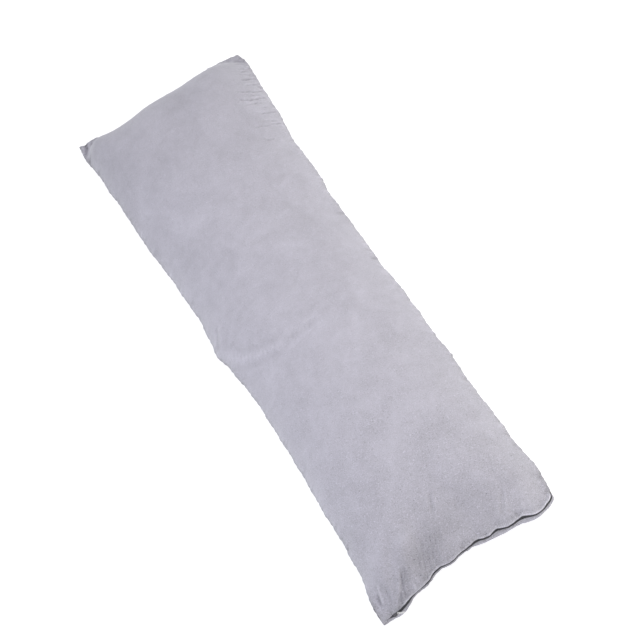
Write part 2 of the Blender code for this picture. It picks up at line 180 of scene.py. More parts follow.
def add_lamp(name, place, side, watts, colour):
    """A square lamp turned to face the pillow."""
    bpy.ops.object.light_add(type="AREA", location=place)
    lamp = bpy.context.object
    lamp.name = name
    lamp.data.size = side
    lamp.data.energy = watts
    lamp.data.color = colour
    lamp.rotation_euler = (-place).to_track_quat("-Z", "Y").to_euler()


add_floor()
add_surround()
for name, (place, side, watts, colour) in LAMPS.items():
    add_lamp(name, place, side, watts, colour)

# %% [markdown]
# The cover is two panels of plush, sewn together all round and filled.  It could be
# sculpted from a cube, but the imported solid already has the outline, the crown and the
# slot for the zip, so a copy of it is the best start.  That copy is loose triangles: its
# doubles are merged and the triangles joined back into quads, which subdivide smoothly.
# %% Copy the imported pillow
MERGE = 1e-5


def select_only(*objects):
    """Deselect everything, then select these objects and make the first one active."""
    bpy.ops.object.select_all(action="DESELECT")
    for piece in objects:
        piece.select_set(True)
    bpy.context.view_layer.objects.active = objects[0]


def in_edit_mode(piece, *steps):
    """Run edit-mode steps on one piece, starting with nothing selected."""
    select_only(piece)
    bpy.ops.object.mode_set(mode="EDIT")
    bpy.ops.mesh.select_mode(type="VERT")
    bpy.ops.mesh.select_all(action="DESELECT")
    for step in steps:
        step()
    bpy.ops.object.mode_set(mode="OBJECT")


def select_whole():
    """Select all of a mesh that is in edit mode."""
    bpy.ops.mesh.select_all(action="SELECT")


def copy_of_node(packed_node, name):
    """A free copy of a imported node, with its triangles merged into a quad mesh."""
    piece = frame["nodes"][packed_node].copy()
    piece.data = piece.data.copy()
    piece.name = piece.data.name = name
    piece.parent = None
    bpy.context.collection.objects.link(piece)
    piece.data.materials.clear()
    in_edit_mode(piece,
                 select_whole,
                 lambda: bpy.ops.mesh.remove_doubles(threshold=MERGE),
                 lambda: bpy.ops.mesh.tris_convert_to_quads(face_threshold=math.pi,
                                                            shape_threshold=math.pi))
    return piece


cover = copy_of_node("pillow", "pillow_cover")
print("copied", len(cover.data.vertices), "points and", len(cover.data.polygons), "faces")

# %% [markdown]
# Front panel, back panel and slot are told apart by the sharp folds between them.  Those
# edges are marked as seams, and a linked selection that stops at seams then finds each
# panel from one of its faces.  Vertex groups keep the result through every subdivision.
# %% Find the panels
FOLD_ANGLE = math.radians(75)  # the lips and the bottom of the slot are sharper
LOW_FIRST = 100                # how much height counts when a face on the floor is sought


def points_of(piece):
    """The points of a mesh as rows of x, y and z."""
    flat = np.empty(3 * len(piece.data.vertices), dtype=np.float32)
    piece.data.vertices.foreach_get("co", flat)
    return flat.reshape(-1, 3).astype(float)


def put_points(piece, points):
    """Write rows of x, y and z back to a mesh."""
    piece.data.vertices.foreach_set("co", points.astype(np.float32).ravel())
    piece.data.update()


def edit_faces(piece, chosen, *steps):
    """Run edit-mode steps on a piece with the chosen faces selected."""
    in_edit_mode(piece, lambda: bpy.ops.mesh.select_mode(type="FACE"))
    piece.data.polygons.foreach_set("select", np.asarray(chosen, dtype=bool))
    bpy.ops.object.mode_set(mode="EDIT")
    for step in steps:
        step()
    bpy.ops.object.mode_set(mode="OBJECT")


def mark_folds(piece):
    """Mark the sharp edges of the lips and the slot as seams."""
    in_edit_mode(piece,
                 lambda: bpy.ops.mesh.select_mode(type="EDGE"),
                 lambda: bpy.ops.mesh.edges_select_sharp(sharpness=FOLD_ANGLE),
                 lambda: bpy.ops.mesh.mark_seam(clear=False))


def group_panel(piece, group, start_face):
    """Put the panel that holds start_face into a vertex group."""
    piece.vertex_groups.active_index = piece.vertex_groups.new(name=group).index
    edit_faces(piece, np.arange(len(piece.data.polygons)) == start_face,
               lambda: bpy.ops.mesh.select_linked(delimit={"SEAM"}),
               lambda: bpy.ops.object.vertex_group_assign())
    return sum(face.select for face in piece.data.polygons)


mark_folds(cover)
centres = np.array([face.center for face in cover.data.polygons])
topmost = int(np.argmax(centres[:, 2]))
from_middle = np.hypot(centres[:, 0], centres[:, 1])
on_floor = int(np.argmin(from_middle + LOW_FIRST * centres[:, 2]))
print("front panel", group_panel(cover, "front", topmost), "faces, back panel",
      group_panel(cover, "back", on_floor), "faces")

# %% [markdown]
# A subdivision would round the lips of the slot away, so their edges get a crease, the
# weight that a Subdivision Surface keeps an edge sharp by.  The blunter edge of the hem
# under the zip gets a lighter one.  Then comes the first of the subdivisions: cloth
# simulates best on cells of 6 to 8 mm, and the others follow when the shape has settled.
# %% Crease and subdivide
FOLD_CREASE = 0.8
HEM_ANGLE = math.radians(32)
HEM_CREASE = 0.55


def crease_folds(piece):
    """Crease the marked folds, and more lightly the blunt edge of the hem."""
    in_edit_mode(piece,
                 lambda: bpy.ops.mesh.select_mode(type="EDGE"),
                 lambda: bpy.ops.mesh.edges_select_sharp(sharpness=HEM_ANGLE))
    creases = piece.data.attributes.new("crease_edge", "FLOAT", "EDGE")
    for edge in piece.data.edges:
        weight = FOLD_CREASE if edge.use_seam else HEM_CREASE * edge.select
        creases.data[edge.index].value = weight


def apply_subdivision(piece):
    """One applied level of Subdivision Surface."""
    select_only(piece)
    smoother = piece.modifiers.new("smoother", "SUBSURF")
    smoother.levels = smoother.render_levels = 1
    bpy.ops.object.modifier_apply(modifier=smoother.name)


crease_folds(cover)
apply_subdivision(cover)
print("subdivided to", len(cover.data.polygons), "faces")

# %% [markdown]
# How far each point lies from the sewing decides how it may move and how it is coloured.
# The marked folds survived the subdivision, so the nearest point on them gives it.
# %% Distance from the sewing
IN_PANEL = 0.99                # weight above which a point belongs to a panel


def weights_of(piece, group):
    """The weight of each point in a vertex group, 0 where it isn't a member."""
    index = piece.vertex_groups[group].index
    weights = np.zeros(len(piece.data.vertices))
    for point in piece.data.vertices:
        for member in point.groups:
            if member.group == index:
                weights[point.index] = member.weight
    return weights


def tree_of(places):
    """A search tree over a list of places."""
    tree = KDTree(len(places))
    for index, place in enumerate(places):
        tree.insert(place, index)
    tree.balance()
    return tree


def distance_from_folds(piece):
    """Distance from each point to the nearest point on a marked fold."""
    on_fold = sorted({index for edge in piece.data.edges if edge.use_seam
                      for index in edge.vertices})
    points = points_of(piece)
    tree = tree_of(points[on_fold])
    return np.array([tree.find(point)[2] for point in points])


def smooth_step(low, high, values):
    """0 below low, 1 above high, and a smooth rise between."""
    t = np.clip((values - low) / (high - low), 0, 1)
    return t * t * (3 - 2 * t)


from_seam = distance_from_folds(cover)
print("the crown lies up to", round(1000 * from_seam.max()), "mm from the sewing")

# %% [markdown]
# Now the cover is inflated.  The sewing and the underside are pinned, the crown is let
# down a little so that the pressure has something to fill, and the cloth is cut slightly
# too large near the seams, because that extra cloth is what gathers there.  Gravity is
# off: pressure alone swells the pillow.  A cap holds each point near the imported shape.
# %% Inflate the cover
LET_DOWN = 0.004
LET_DOWN_FROM = 0.06           # height at which the let-down starts
PIN_REACH = (0.002, 0.022)     # from the sewing, over which the pins let go
PIN_HEIGHT = 0.006             # above the floor, over which they let go
SPARE_CLOTH = -0.035           # negative shrink makes the cloth larger than its shape
SPARE_REACH = (0.03, 0.09)     # from the sewing, over which the spare cloth ends
MOVE_CAP = 0.010
LAST_FRAME = 20
SOFT_PLUSH = {
    "quality": 6, "mass": 0.25, "tension_stiffness": 12, "compression_stiffness": 12,
    "shear_stiffness": 4, "bending_stiffness": 0.6, "air_damping": 3,
    "use_pressure": True, "uniform_pressure_force": 4.0,
}


def set_group(piece, name, weights):
    """Make a vertex group from one weight for each point."""
    group = piece.vertex_groups.new(name=name)
    for index, weight in enumerate(weights):
        group.add([index], float(weight), "REPLACE")
    return group.name


def add_cloth(piece, pins, spare):
    """A Cloth modifier for soft plush that is blown up with its sewing held."""
    cloth = piece.modifiers.new("filling", "CLOTH")
    settings = cloth.settings
    for name, value in SOFT_PLUSH.items():
        setattr(settings, name, value)
    settings.vertex_group_mass = pins
    settings.vertex_group_shrink = spare
    settings.shrink_min = 0.0
    settings.shrink_max = SPARE_CLOTH
    settings.effector_weights.gravity = 0.0
    cloth.point_cache.frame_end = LAST_FRAME
    return cloth


def inflate(piece, distance):
    """Swell the pinned cover with pressure and leave the settled shape in its mesh."""
    packed = points_of(piece)
    free = smooth_step(*PIN_REACH, distance) * smooth_step(0, PIN_HEIGHT, packed[:, 2])
    start = packed.copy()
    start[:, 2] -= LET_DOWN * smooth_step(LET_DOWN_FROM, CROWN, packed[:, 2])
    put_points(piece, start)
    pins = set_group(piece, "pins", 1 - free)
    spare = set_group(piece, "spare", 1 - smooth_step(*SPARE_REACH, distance))
    select_only(piece)
    cloth = add_cloth(piece, pins, spare)
    for step in range(1, LAST_FRAME + 1):
        bpy.context.scene.frame_set(step)
    bpy.ops.object.modifier_apply(modifier=cloth.name)
    moved = points_of(piece) - packed
    reach = np.linalg.norm(moved, axis=1)
    moved *= (np.minimum(reach, MOVE_CAP) / np.maximum(reach, MERGE))[:, None]
    settled = packed + moved
    settled[:, 2] = np.maximum(settled[:, 2], 0.0)
    put_points(piece, settled)
    bpy.context.scene.frame_set(1)
    return reach


reach = inflate(cover, from_seam)
print("the cloth moved", round(1000 * reach.mean(), 1), "mm on average and",
      round(1000 * reach.max(), 1), "mm at most")

# %% [markdown]
# The larger puckers are listed one by one.  Each is a line in plan with its half-width and its
# depth, and a few are ridges, with a negative depth.  They run where the cloth pulls at
# the corners and where the pillow was folded across its middle.  Measuring to such a line
# gives two things: how far off it a point lies, and how much of its length is behind.  A
# small smooth ripple is added to the first, so that no fold runs quite straight.
# %% Where the puckers run
# line in plan, half-width, depth
PUCKERS = [
    ([(0.1834, 0.6590), (0.2024, 0.6419)], 0.0022, 0.0018),
    ([(0.1780, 0.6340), (0.1990, 0.6322)], 0.0017, 0.0018),
    ([(0.1800, 0.6109), (0.2036, 0.6101)], 0.0020, 0.0030),
    ([(0.1790, 0.5985), (0.2022, 0.6007)], 0.0017, 0.0028),
    ([(0.1735, 0.5850), (0.2005, 0.5862)], 0.0016, 0.0026),
    ([(0.1690, 0.5660), (0.2005, 0.5700)], 0.0019, 0.0036),
    ([(0.1720, 0.5450), (0.1991, 0.5515)], 0.0018, 0.0030),
    ([(0.1450, 0.5310), (0.1784, 0.5198), (0.1990, 0.5247)], 0.0022, 0.0028),
    ([(0.1620, 0.5104), (0.1880, 0.5084)], 0.0017, 0.0026),
    ([(0.1340, 0.5090), (0.1650, 0.4957), (0.1961, 0.5021)], 0.0023, 0.0028),
    ([(0.1470, 0.4812), (0.1659, 0.4839), (0.1820, 0.4860)], 0.0019, 0.0022),
    ([(0.1700, 0.4690), (0.1935, 0.4705)], 0.0016, 0.0020),
    ([(0.1600, 0.4510), (0.1925, 0.4525)], 0.0020, 0.0026),
    ([(0.1580, 0.4305), (0.1870, 0.4260)], 0.0018, 0.0022),
    ([(0.1354, 0.4178), (0.1511, 0.4159), (0.1666, 0.4156)], 0.0021, 0.0018),
    ([(0.1690, 0.4170), (0.1930, 0.4193)], 0.0024, 0.0028),
    ([(0.1375, 0.3795), (0.1572, 0.3726)], 0.0024, 0.0013),
    ([(-0.1885, 0.6835), (-0.1839, 0.6927), (-0.1792, 0.7034), (-0.1768, 0.7170)],
     0.0036, 0.0056),
    ([(-0.1600, 0.7020), (-0.1680, 0.7103), (-0.1735, 0.7150)], 0.0032, 0.0013),
    ([(-0.1522, 0.0598), (-0.1634, 0.0333), (-0.1753, 0.0133)], 0.0040, 0.0012),
    ([(-0.0258, -0.0607), (-0.0009, -0.0537)], 0.0040, 0.0006),
    ([(-0.0666, -0.1040), (-0.0328, -0.1075), (0.0105, -0.1100)], 0.0070, 0.0010),
    ([(-0.1812, 0.0184), (-0.1687, -0.0150), (-0.1515, -0.0450), (-0.1325, -0.0678),
      (-0.1104, -0.0841), (-0.0885, -0.0941), (-0.0666, -0.1005)], 0.0075, -0.0014),
    ([(-0.1700, -0.6640), (-0.1733, -0.6764), (-0.1814, -0.6910)], 0.0030, -0.0020),
    ([(-0.1590, -0.6790), (-0.1650, -0.6900), (-0.1690, -0.7010)], 0.0034, 0.0019),
    ([(-0.1854, -0.6714), (-0.1873, -0.6944)], 0.0030, 0.0022),
    ([(0.0129, -0.5882), (-0.0077, -0.6313)], 0.0040, 0.0010),
    ([(0.1291, -0.6591), (0.1037, -0.6919)], 0.0036, 0.0014),
]
# A crease is steep on one side: line in plan, half-width on its right and left, depth.
CREASES = [
    ([(-0.1130, -0.6720), (-0.1206, -0.6842), (-0.1301, -0.6918), (-0.1402, -0.7017),
      (-0.1508, -0.7075), (-0.1590, -0.7128)], 0.0022, 0.0115, 0.0028),
    ([(0.0050, -0.6500), (-0.0400, -0.6760), (-0.0900, -0.6960)], 0.0230, 0.0150, 0.0014),
]
FOLDS = [(line, width, width, depth) for line, width, depth in PUCKERS] + CREASES
WAVER = 0.0006                 # how far a fold wanders off its line
WAVER_WAVES = ((310, 170, 0), (-230, 410, 1))     # turns along X and Y, and start


def travel(line):
    """Distance travelled along a line of points, from 0 at the first."""
    return np.concatenate([[0.0], np.cumsum(np.linalg.norm(np.diff(line, axis=0), axis=1))])


def along_line(x, y, line):
    """Distance in plan from a line, positive on its left, and the share of it reached."""
    line = np.array(line)
    along = travel(line)
    best = np.full(x.shape, np.inf)
    place = np.zeros(x.shape)
    for start in range(len(line) - 1):
        run = line[start + 1] - line[start]
        off_x, off_y = x - line[start][0], y - line[start][1]
        share = np.clip((off_x * run[0] + off_y * run[1]) / (run @ run), 0, 1)
        off_x = off_x - share * run[0]
        off_y = off_y - share * run[1]
        gap = np.hypot(off_x, off_y) * np.where(run[0] * off_y < run[1] * off_x, -1, 1)
        nearer = np.abs(gap) < np.abs(best)
        there = along[start] + share * (along[start + 1] - along[start])
        place = np.where(nearer, there, place)
        best = np.where(nearer, gap, best)
    return best, place / along[-1]


def ripple(x, y, waves):
    """The sum of waves over the plan, whose turns are in radians for each metre."""
    return sum(np.sin(turn_x * x + turn_y * y + start) for turn_x, turn_y, start in waves)


def across_fold(points, line, right, left):
    """How far off a fold each point lies, in half-widths, and the share of it reached."""
    x, y = points[:, 0], points[:, 1]
    gap, share = along_line(x, y, line)
    gap = gap + WAVER * ripple(x, y, WAVER_WAVES)
    return gap / np.where(gap > 0, left, right), share


fold_lengths = [travel(line)[-1] for line, right, left, depth in FOLDS]
print("there are", len(FOLDS), "folds, of", round(sum(fold_lengths), 2), "m in all")

# %% [markdown]
# Puckers are a few millimetres wide and need more points than the crown does.  So the
# points are spent where they show: the part of the back panel that lies flat on the floor
# is dissolved into one face and split again into few triangles, and the faces near the
# lips and along the puckers are subdivided a third time.
# %% Refine near the sewing
REFINE_REACH = 0.0135
PUCKER_REACH = 2.8             # in half-widths of a fold
HEM_REACH = 0.012
OFF_THE_FOLD = 0.0012
LIFTED = 0.004
FLAT = 0.00015
FLAT_ANGLE = math.radians(1)


def faces_within(piece, chosen_points):
    """A flag for each face: are all its points chosen?"""
    return [all(chosen_points[index] for index in face.vertices)
            for face in piece.data.polygons]


def thin_out_underside(piece):
    """Leave only a few faces where the cloth lies flat on the floor."""
    edit_faces(piece, faces_within(piece, points_of(piece)[:, 2] < FLAT),
               lambda: bpy.ops.mesh.dissolve_limited(angle_limit=FLAT_ANGLE),
               lambda: bpy.ops.mesh.quads_convert_to_tris())


def worth_refining(piece, distance):
    """A flag for each point: is it near the front lip or a pucker?"""
    points = points_of(piece)
    chosen = distance < REFINE_REACH
    for line, right, left, depth in FOLDS:
        chosen |= np.abs(across_fold(points, line, right, right)[0]) < PUCKER_REACH
    return chosen & (weights_of(piece, "front") > IN_PANEL)


def refine_near_sewing(piece):
    """Subdivide and smooth the front panel where it puckers and the back panel by the zip."""
    zip_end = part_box("zip_chain")[1].y
    points = points_of(piece)
    distance = distance_from_folds(piece)
    front = worth_refining(piece, distance)
    back = (weights_of(piece, "back") > IN_PANEL) & (distance < HEM_REACH)
    back &= (points[:, 1] < zip_end) & (points[:, 2] > LIFTED)
    chosen = np.array(faces_within(piece, front)) | np.array(faces_within(piece, back))
    edit_faces(piece, chosen, lambda: bpy.ops.mesh.subdivide(number_cuts=1))
    distance = distance_from_folds(piece)
    between = worth_refining(piece, distance) & (distance > OFF_THE_FOLD)
    edit_faces(piece, faces_within(piece, between),
               lambda: bpy.ops.mesh.vertices_smooth(factor=0.5, repeat=2))


def triangles_of(piece):
    """How many triangles a mesh makes."""
    return sum(len(face.vertices) - 2 for face in piece.data.polygons)


apply_subdivision(cover)
thin_out_underside(cover)
refine_near_sewing(cover)
print("the finished cover has", triangles_of(cover), "triangles")

# %% [markdown]
# Whatever happens at the sewing is easiest to say as "so far round the pillow, and so far
# in from the lip".  The two lips are the marked folds at the edges of the panels: they are
# followed point by point, and every point of the cloth is then measured to them.
# %% Measure along the lips
FOOT_LEFT = (cad_low.x, cad_low.y)


def lip_ring(piece, group):
    """The points of one panel's edge in order, from the left foot corner towards +X."""
    inside = weights_of(piece, group) > IN_PANEL
    sides = {}
    for face, in_panel in zip(piece.data.polygons, faces_within(piece, inside)):
        for edge in face.edge_keys:
            sides[edge] = sides.get(edge, 0) + in_panel
    links = {}
    for (first, second), count in sides.items():
        if count == 1:
            links.setdefault(first, []).append(second)
            links.setdefault(second, []).append(first)
    points = points_of(piece)
    start = min(links, key=lambda index: math.dist(points[index][:2], FOOT_LEFT))
    ring = [start, max(links[start], key=lambda index: points[index][0])]
    while ring[-1] != start and len(ring) <= len(links):
        ring.append(next(index for index in links[ring[-1]] if index != ring[-2]))
    return np.array(ring[:-1])


def measure_to_ring(points, line):
    """How far round a closed line, and how far away from it, each point lies."""
    closed = np.concatenate([line, line[:1]])
    along = travel(closed)
    tree = tree_of(line)
    nearest = np.array([tree.find(point)[1] for point in points])
    best = np.full(len(points), np.inf)
    place = np.zeros(len(points))
    for start in ((nearest - 1) % len(line), nearest):
        run = closed[start + 1] - closed[start]
        share = np.sum((points - closed[start]) * run, axis=1) / np.sum(run * run, axis=1)
        share = np.clip(share, 0, 1)
        gap = np.linalg.norm(points - closed[start] - run * share[:, None], axis=1)
        there = along[start] + share * (along[start + 1] - along[start])
        place = np.where(gap < best, there, place)
        best = np.minimum(gap, best)
    return place, best


front_ring = lip_ring(cover, "front")
back_ring = lip_ring(cover, "back")
on_front = weights_of(cover, "front")
on_back = weights_of(cover, "back")
print("the front lip has", len(front_ring), "points and the back lip", len(back_ring))

# %% [markdown]
# Subdividing draws a rounded edge in a little, so the whole edge of the pillow, both lips
# with their slot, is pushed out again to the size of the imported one.  Each point goes the
# way that points out of the front lip beside it, and the push fades towards the crown.  The
# left edge keeps its packed place.  At the ear in its head corner the edge has a notch,
# and small bumps run along the sides, two waves with different lengths.
# %% Fill out the edge
EDGE_FULLER = 0.0011
FOOT_FULLER = 0.0008           # on top of that, at the foot
FULLER_REACH = 0.045
FOOT_DEPTH = 0.05              # of the part that counts as the foot
NEIGHBOURS = 6                 # ring points on each side that smooth its direction
NICK_DEPTH = 0.0004            # of the small bumps that the stitches leave
NICK_WAVES = ((0.0021, 0), (0.0034, 2))     # length for each radian, and start
NOTCH_AT = (-0.1765, 0.7180)
NOTCH_WIDTH = 0.0060
NOTCH_DEPTH = 0.0050


def ring_outward(line):
    """Directions in plan that point out of a closed line, smoothed along it."""
    run = np.roll(line, -NEIGHBOURS, axis=0) - np.roll(line, NEIGHBOURS, axis=0)
    out = np.stack([run[:, 1], -run[:, 0], 0 * run[:, 0]], axis=1)
    return out / np.linalg.norm(out, axis=1, keepdims=True)


def bell(values, middle, width):
    """A bell curve of height 1."""
    return np.exp(-((values - middle) / width) ** 2)


def fill_out(piece, ring):
    """Push the pillow's edge out, most at the foot."""
    points = points_of(piece)
    line = points[ring]
    place, distance = measure_to_ring(points, line)
    out = np.stack([np.interp(place, travel(line), column)
                    for column in ring_outward(line).T], axis=1)
    foot = 1 - smooth_step(0, FOOT_DEPTH, points[:, 1] - cad_low.y)
    push = EDGE_FULLER * np.clip(1 + out[:, 0], 0, 1)
    push += FOOT_FULLER * foot * np.clip(-out[:, 1], 0, 1) ** 2
    nicks = sum(np.sin(place / length + start) for length, start in NICK_WAVES)
    push += NICK_DEPTH * nicks * (1 - foot)
    from_notch = np.hypot(points[:, 0] - NOTCH_AT[0], points[:, 1] - NOTCH_AT[1])
    push -= NOTCH_DEPTH * bell(from_notch, 0, NOTCH_WIDTH)
    push *= 1 - smooth_step(0, FULLER_REACH, distance)
    push *= smooth_step(0, LIFTED, points[:, 2])
    put_points(piece, points + out * push[:, None])
    return push.max()


print("the edge is filled out by up to", round(1000 * fill_out(cover, front_ring), 1), "mm")

# %% [markdown]
# The filling presses unevenly on the foot, so the two lips of the zip hang in shallow
# scallops with cusps between them.  A table along X says how far each lip sags from its
# packed place, outwards and down, and how far the back lip alone comes up again behind the
# front one.  The sag fades into the panels, and the slot's walls follow both lips.
# %% Let the lips sag
# along X: sag of the front lip, sag of the hem under the zip, rise of the back lip, in mm
LIP_SAG = np.array([
    (-0.215, 0.0, 0.0, 0.0), (-0.206, 0.4, -0.6, 2.2), (-0.198, 0.7, -0.8, 2.8),
    (-0.190, 0.4, -1.0, 2.4), (-0.182, 0.2, 0.6, 0.6), (-0.172, 0.2, 2.0, 1.0),
    (-0.160, 0.4, 2.4, 2.4), (-0.148, 0.6, 2.6, 2.4), (-0.140, 0.2, 1.0, 0.0),
    (-0.130, -0.4, -1.8, -1.0), (-0.116, 0.5, -2.2, -1.0), (-0.104, 1.2, -0.8, -0.4),
    (-0.092, 1.8, 1.4, 0.2), (-0.084, 2.1, 1.0, 0.0), (-0.076, 0.5, -0.8, -0.3),
    (-0.064, 0.0, -0.7, -0.5), (-0.052, 0.1, -1.1, -0.6), (-0.044, 1.5, 0.1, -0.3),
    (-0.034, 2.4, 1.0, -0.5), (-0.026, 2.2, 1.0, -0.7), (-0.018, 0.9, -1.0, -0.7),
    (-0.010, 0.6, -1.2, -0.7), (-0.002, 0.7, -0.3, -0.3), (0.010, 1.3, 1.4, 0.6),
    (0.020, 0.3, 0.6, 0.4), (0.028, -1.4, 2.8, 3.2), (0.036, -0.4, 3.8, 4.2),
    (0.046, 1.5, 3.6, 2.8), (0.058, 2.3, 2.4, 2.0), (0.068, -1.4, 1.6, 3.2),
    (0.076, -2.2, 2.8, 4.6), (0.086, 0.4, 3.3, 3.8), (0.096, 2.2, 3.6, 2.2),
    (0.108, 1.4, 2.6, 1.4), (0.120, 0.2, 2.2, 2.2), (0.130, -2.4, 4.4, 5.4),
    (0.140, -0.2, 4.8, 4.8), (0.152, 1.5, 4.0, 3.4), (0.168, 1.9, 2.8, 2.4),
    (0.181, 0.3, 3.2, 2.8), (0.190, 0.2, 1.6, 2.4), (0.198, 0.0, -1.2, 1.4),
    (0.206, 0.0, -2.0, 0.6), (0.215, 0.0, 0.0, 0.0)])
SAG_WAY = np.array([0.0, -0.79, -0.61])
SAG_REACH = 0.018
RISE_REACH = (0.0008, 0.0055)  # from the back lip, over which its rise ends
SAG_DEPTH = (0.045, 0.075)     # of the foot, over which the sag ends


def sag_lips(piece):
    """Move both lips by the table, and the slot between them and the panels beside them."""
    points = points_of(piece)
    front, under, rise = (np.interp(points[:, 0], LIP_SAG[:, 0], LIP_SAG[:, column]) / 1000
                          for column in (1, 2, 3))
    from_front = measure_to_ring(points, points[front_ring])[1]
    from_back = measure_to_ring(points, points[back_ring])[1]
    share = from_front / (from_front + from_back + MERGE)
    share = np.where(on_front > IN_PANEL, 0, np.where(on_back > IN_PANEL, 1, share))
    near = np.minimum(from_front, from_back)
    sag = (front * (1 - share) + under * share) * (1 - smooth_step(0, SAG_REACH, near))
    sag -= rise * share * (1 - smooth_step(*RISE_REACH, from_back))
    sag *= 1 - smooth_step(*SAG_DEPTH, points[:, 1] - cad_low.y)
    sag *= smooth_step(0, LIFTED, points[:, 2])
    put_points(piece, points + SAG_WAY * sag[:, None])
    return np.abs(sag).max()


print("the lips sag by up to", round(1000 * sag_lips(cover), 1), "mm")

# %% [markdown]
# Along the zip each lip is a hem: the cloth is folded over and stitched to the zip's tape
# behind the fold.  It shows as a narrow roll at the edge with a shallow valley behind it.
# Both are raised along the cloth's own normals, on each panel from its own lip.  The roll
# starts past the pull tab, which lies on the lips where they are still flat.
# %% Hem the lips
ZIP_LOW, ZIP_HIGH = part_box("zip_chain")
PULL_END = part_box("zip_pull")[1].x
HEM_ROLL = 0.0012              # height of the roll
HEM_ROLL_AT = 0.0030           # its middle, in from the lip
HEM_ROLL_WIDTH = 0.0020
HEM_VALLEY = -0.0014
HEM_VALLEY_AT = 0.0085
HEM_VALLEY_WIDTH = 0.0026
HEM_RUN_OUT = 0.014


def raise_points(piece, lift):
    """Move each point of a mesh along its own smooth normal."""
    normals = np.array([point.normal for point in piece.data.vertices])
    put_points(piece, points_of(piece) + normals * lift[:, None])


def zip_mask(points):
    """1 beside the zip past the pull, and 0 away from it."""
    at_foot = smooth_step(PULL_END, PULL_END + HEM_RUN_OUT, points[:, 0])
    past_turn = 1 - smooth_step(ZIP_HIGH.y - HEM_RUN_OUT, ZIP_HIGH.y, points[:, 1])
    return at_foot * past_turn


def hem(piece, ring, side):
    """Raise the roll and press the valley of one lip's hem."""
    points = points_of(piece)
    distance = measure_to_ring(points, points[ring])[1]
    lift = HEM_ROLL * bell(distance, HEM_ROLL_AT, HEM_ROLL_WIDTH)
    lift += HEM_VALLEY * bell(distance, HEM_VALLEY_AT, HEM_VALLEY_WIDTH)
    raise_points(piece, lift * side * zip_mask(points))


hem(cover, front_ring, on_front)
hem(cover, back_ring, on_back)
print("hemmed", round(1000 * (ZIP_HIGH.x - ZIP_LOW.x)), "mm of both lips")

# %% [markdown]
# A pucker is a soft trough with a low shoulder on both sides.  It fades in from the start
# of its line and is deepest near the end, where it meets the seam.  How deep each point
# lies in a trough, or how high on a shoulder, is kept for the material, which paints shade
# into the troughs and light onto the shoulders; parted fibres darken a fold a little too.
# %% Press the puckers
SHOULDER_SHARE = 0.25          # height of a pucker's shoulders over its depth
SHOULDER_AT = 2.0              # their place, in half-widths
SHOULDER_WIDTH = 0.8           # in half-widths
PUCKER_FADE = 0.35             # share of a pucker's length over which it deepens
PUCKER_END = 0.9               # share of it past which it gets shallow again
END_LOSS = 0.5                 # of its depth, at its end
DEEP = 0.0030                  # a trough this deep gets the most painted shade
BROKEN = 0.35                  # how much a pucker deepens and fades on its way
BROKEN_WAVES = ((600, -350, 0),)
SHOULDER_PAINTED_LIGHT = 0.55           # painted light on a shoulder, over the painted shade of its trough


def pucker_cover(piece, side):
    """Press the listed puckers into the front panel; returns their painted shade (+) and light
    (-).
    """
    points = points_of(piece)
    lift = np.zeros(len(points))
    trough = np.zeros(len(points))
    for line, right, left, depth in FOLDS:
        gap, share = across_fold(points, line, right, left)
        middle = bell(gap, 0, 1)
        shoulder = bell(np.abs(gap), SHOULDER_AT, SHOULDER_WIDTH)
        fade = smooth_step(0, PUCKER_FADE, share)
        fade *= 1 - END_LOSS * smooth_step(PUCKER_END, 1, share)
        fade *= 1 + BROKEN * ripple(points[:, 0], points[:, 1], BROKEN_WAVES)
        lift += depth * fade * (SHOULDER_SHARE * shoulder - middle)
        trough += depth * fade * (middle - SHOULDER_PAINTED_LIGHT * shoulder)
    raise_points(piece, lift * side)
    return np.clip(trough * side / DEEP, -1, 1)


in_trough = pucker_cover(cover, on_front)
print("the puckers cover", int((in_trough > 0.1).sum()), "points")

# %% [markdown]
# Between them the seam draws in the cloth a little all the way round.  These small gathers
# are a rule rather than a list: hundreds of low bells at random places along the lips, each
# with its own width, length, height and slant.  A seeded generator gives the same ones on
# every run.  They fade in past the fold itself and out towards the crown.
# %% Gather the seams
GATHER_SEED = 11
GATHERS_PER_METRE = 85
GATHER_WIDTHS = (0.0022, 0.0055)
GATHER_LENGTHS = (0.009, 0.034)
GATHER_HEIGHT = 0.0008
GATHER_SLANT = 0.35
GATHER_PAINTED_SHADE = 1.7              # painted shade or light of a gather, over that of a pucker of its depth
GATHER_START = (0.0005, 0.004)              # from the lip, over which they fade in
GATHER_LOW = 0.012             # height above the floor below which they fade
GATHER_END = 0.3               # share of their length past which they fade out
BELL_END = 3                   # widths past which a bell is as good as 0


def gather_cover(piece, ring, side):
    """Raise and press small gathers on one panel along its lip."""
    points = points_of(piece)
    place, distance = measure_to_ring(points, points[ring])
    whole = travel(points[ring])[-1]
    random = np.random.default_rng(GATHER_SEED)
    lift = np.zeros(len(points))
    for gather in range(int(whole * GATHERS_PER_METRE)):
        middle = random.uniform(0, whole)
        width = random.uniform(*GATHER_WIDTHS)
        length = random.uniform(*GATHER_LENGTHS)
        height = random.normal(0, GATHER_HEIGHT)
        slant = random.normal(0, GATHER_SLANT)
        gap = place - middle - slant * distance
        near = (np.abs(gap) < BELL_END * width) & (distance < length)
        reach = 1 - smooth_step(GATHER_END, 1, distance[near] / length)
        lift[near] += height * bell(gap[near], 0, width) * reach
    past_fold = side * smooth_step(*GATHER_START, distance)
    lift *= past_fold * smooth_step(LIFTED, GATHER_LOW, points[:, 2])
    raise_points(piece, lift)
    return lift


front_lift = gather_cover(cover, front_ring, on_front)
gather_cover(cover, back_ring, on_back)
# sunk gathers get painted shade and raised ones painted light
in_trough = np.clip(in_trough - GATHER_PAINTED_SHADE * front_lift / DEEP, -1, 1)
print("the gathers reach", round(1000 * np.abs(front_lift).max(), 1), "mm")
select_only(cover)
bpy.ops.object.shade_smooth()

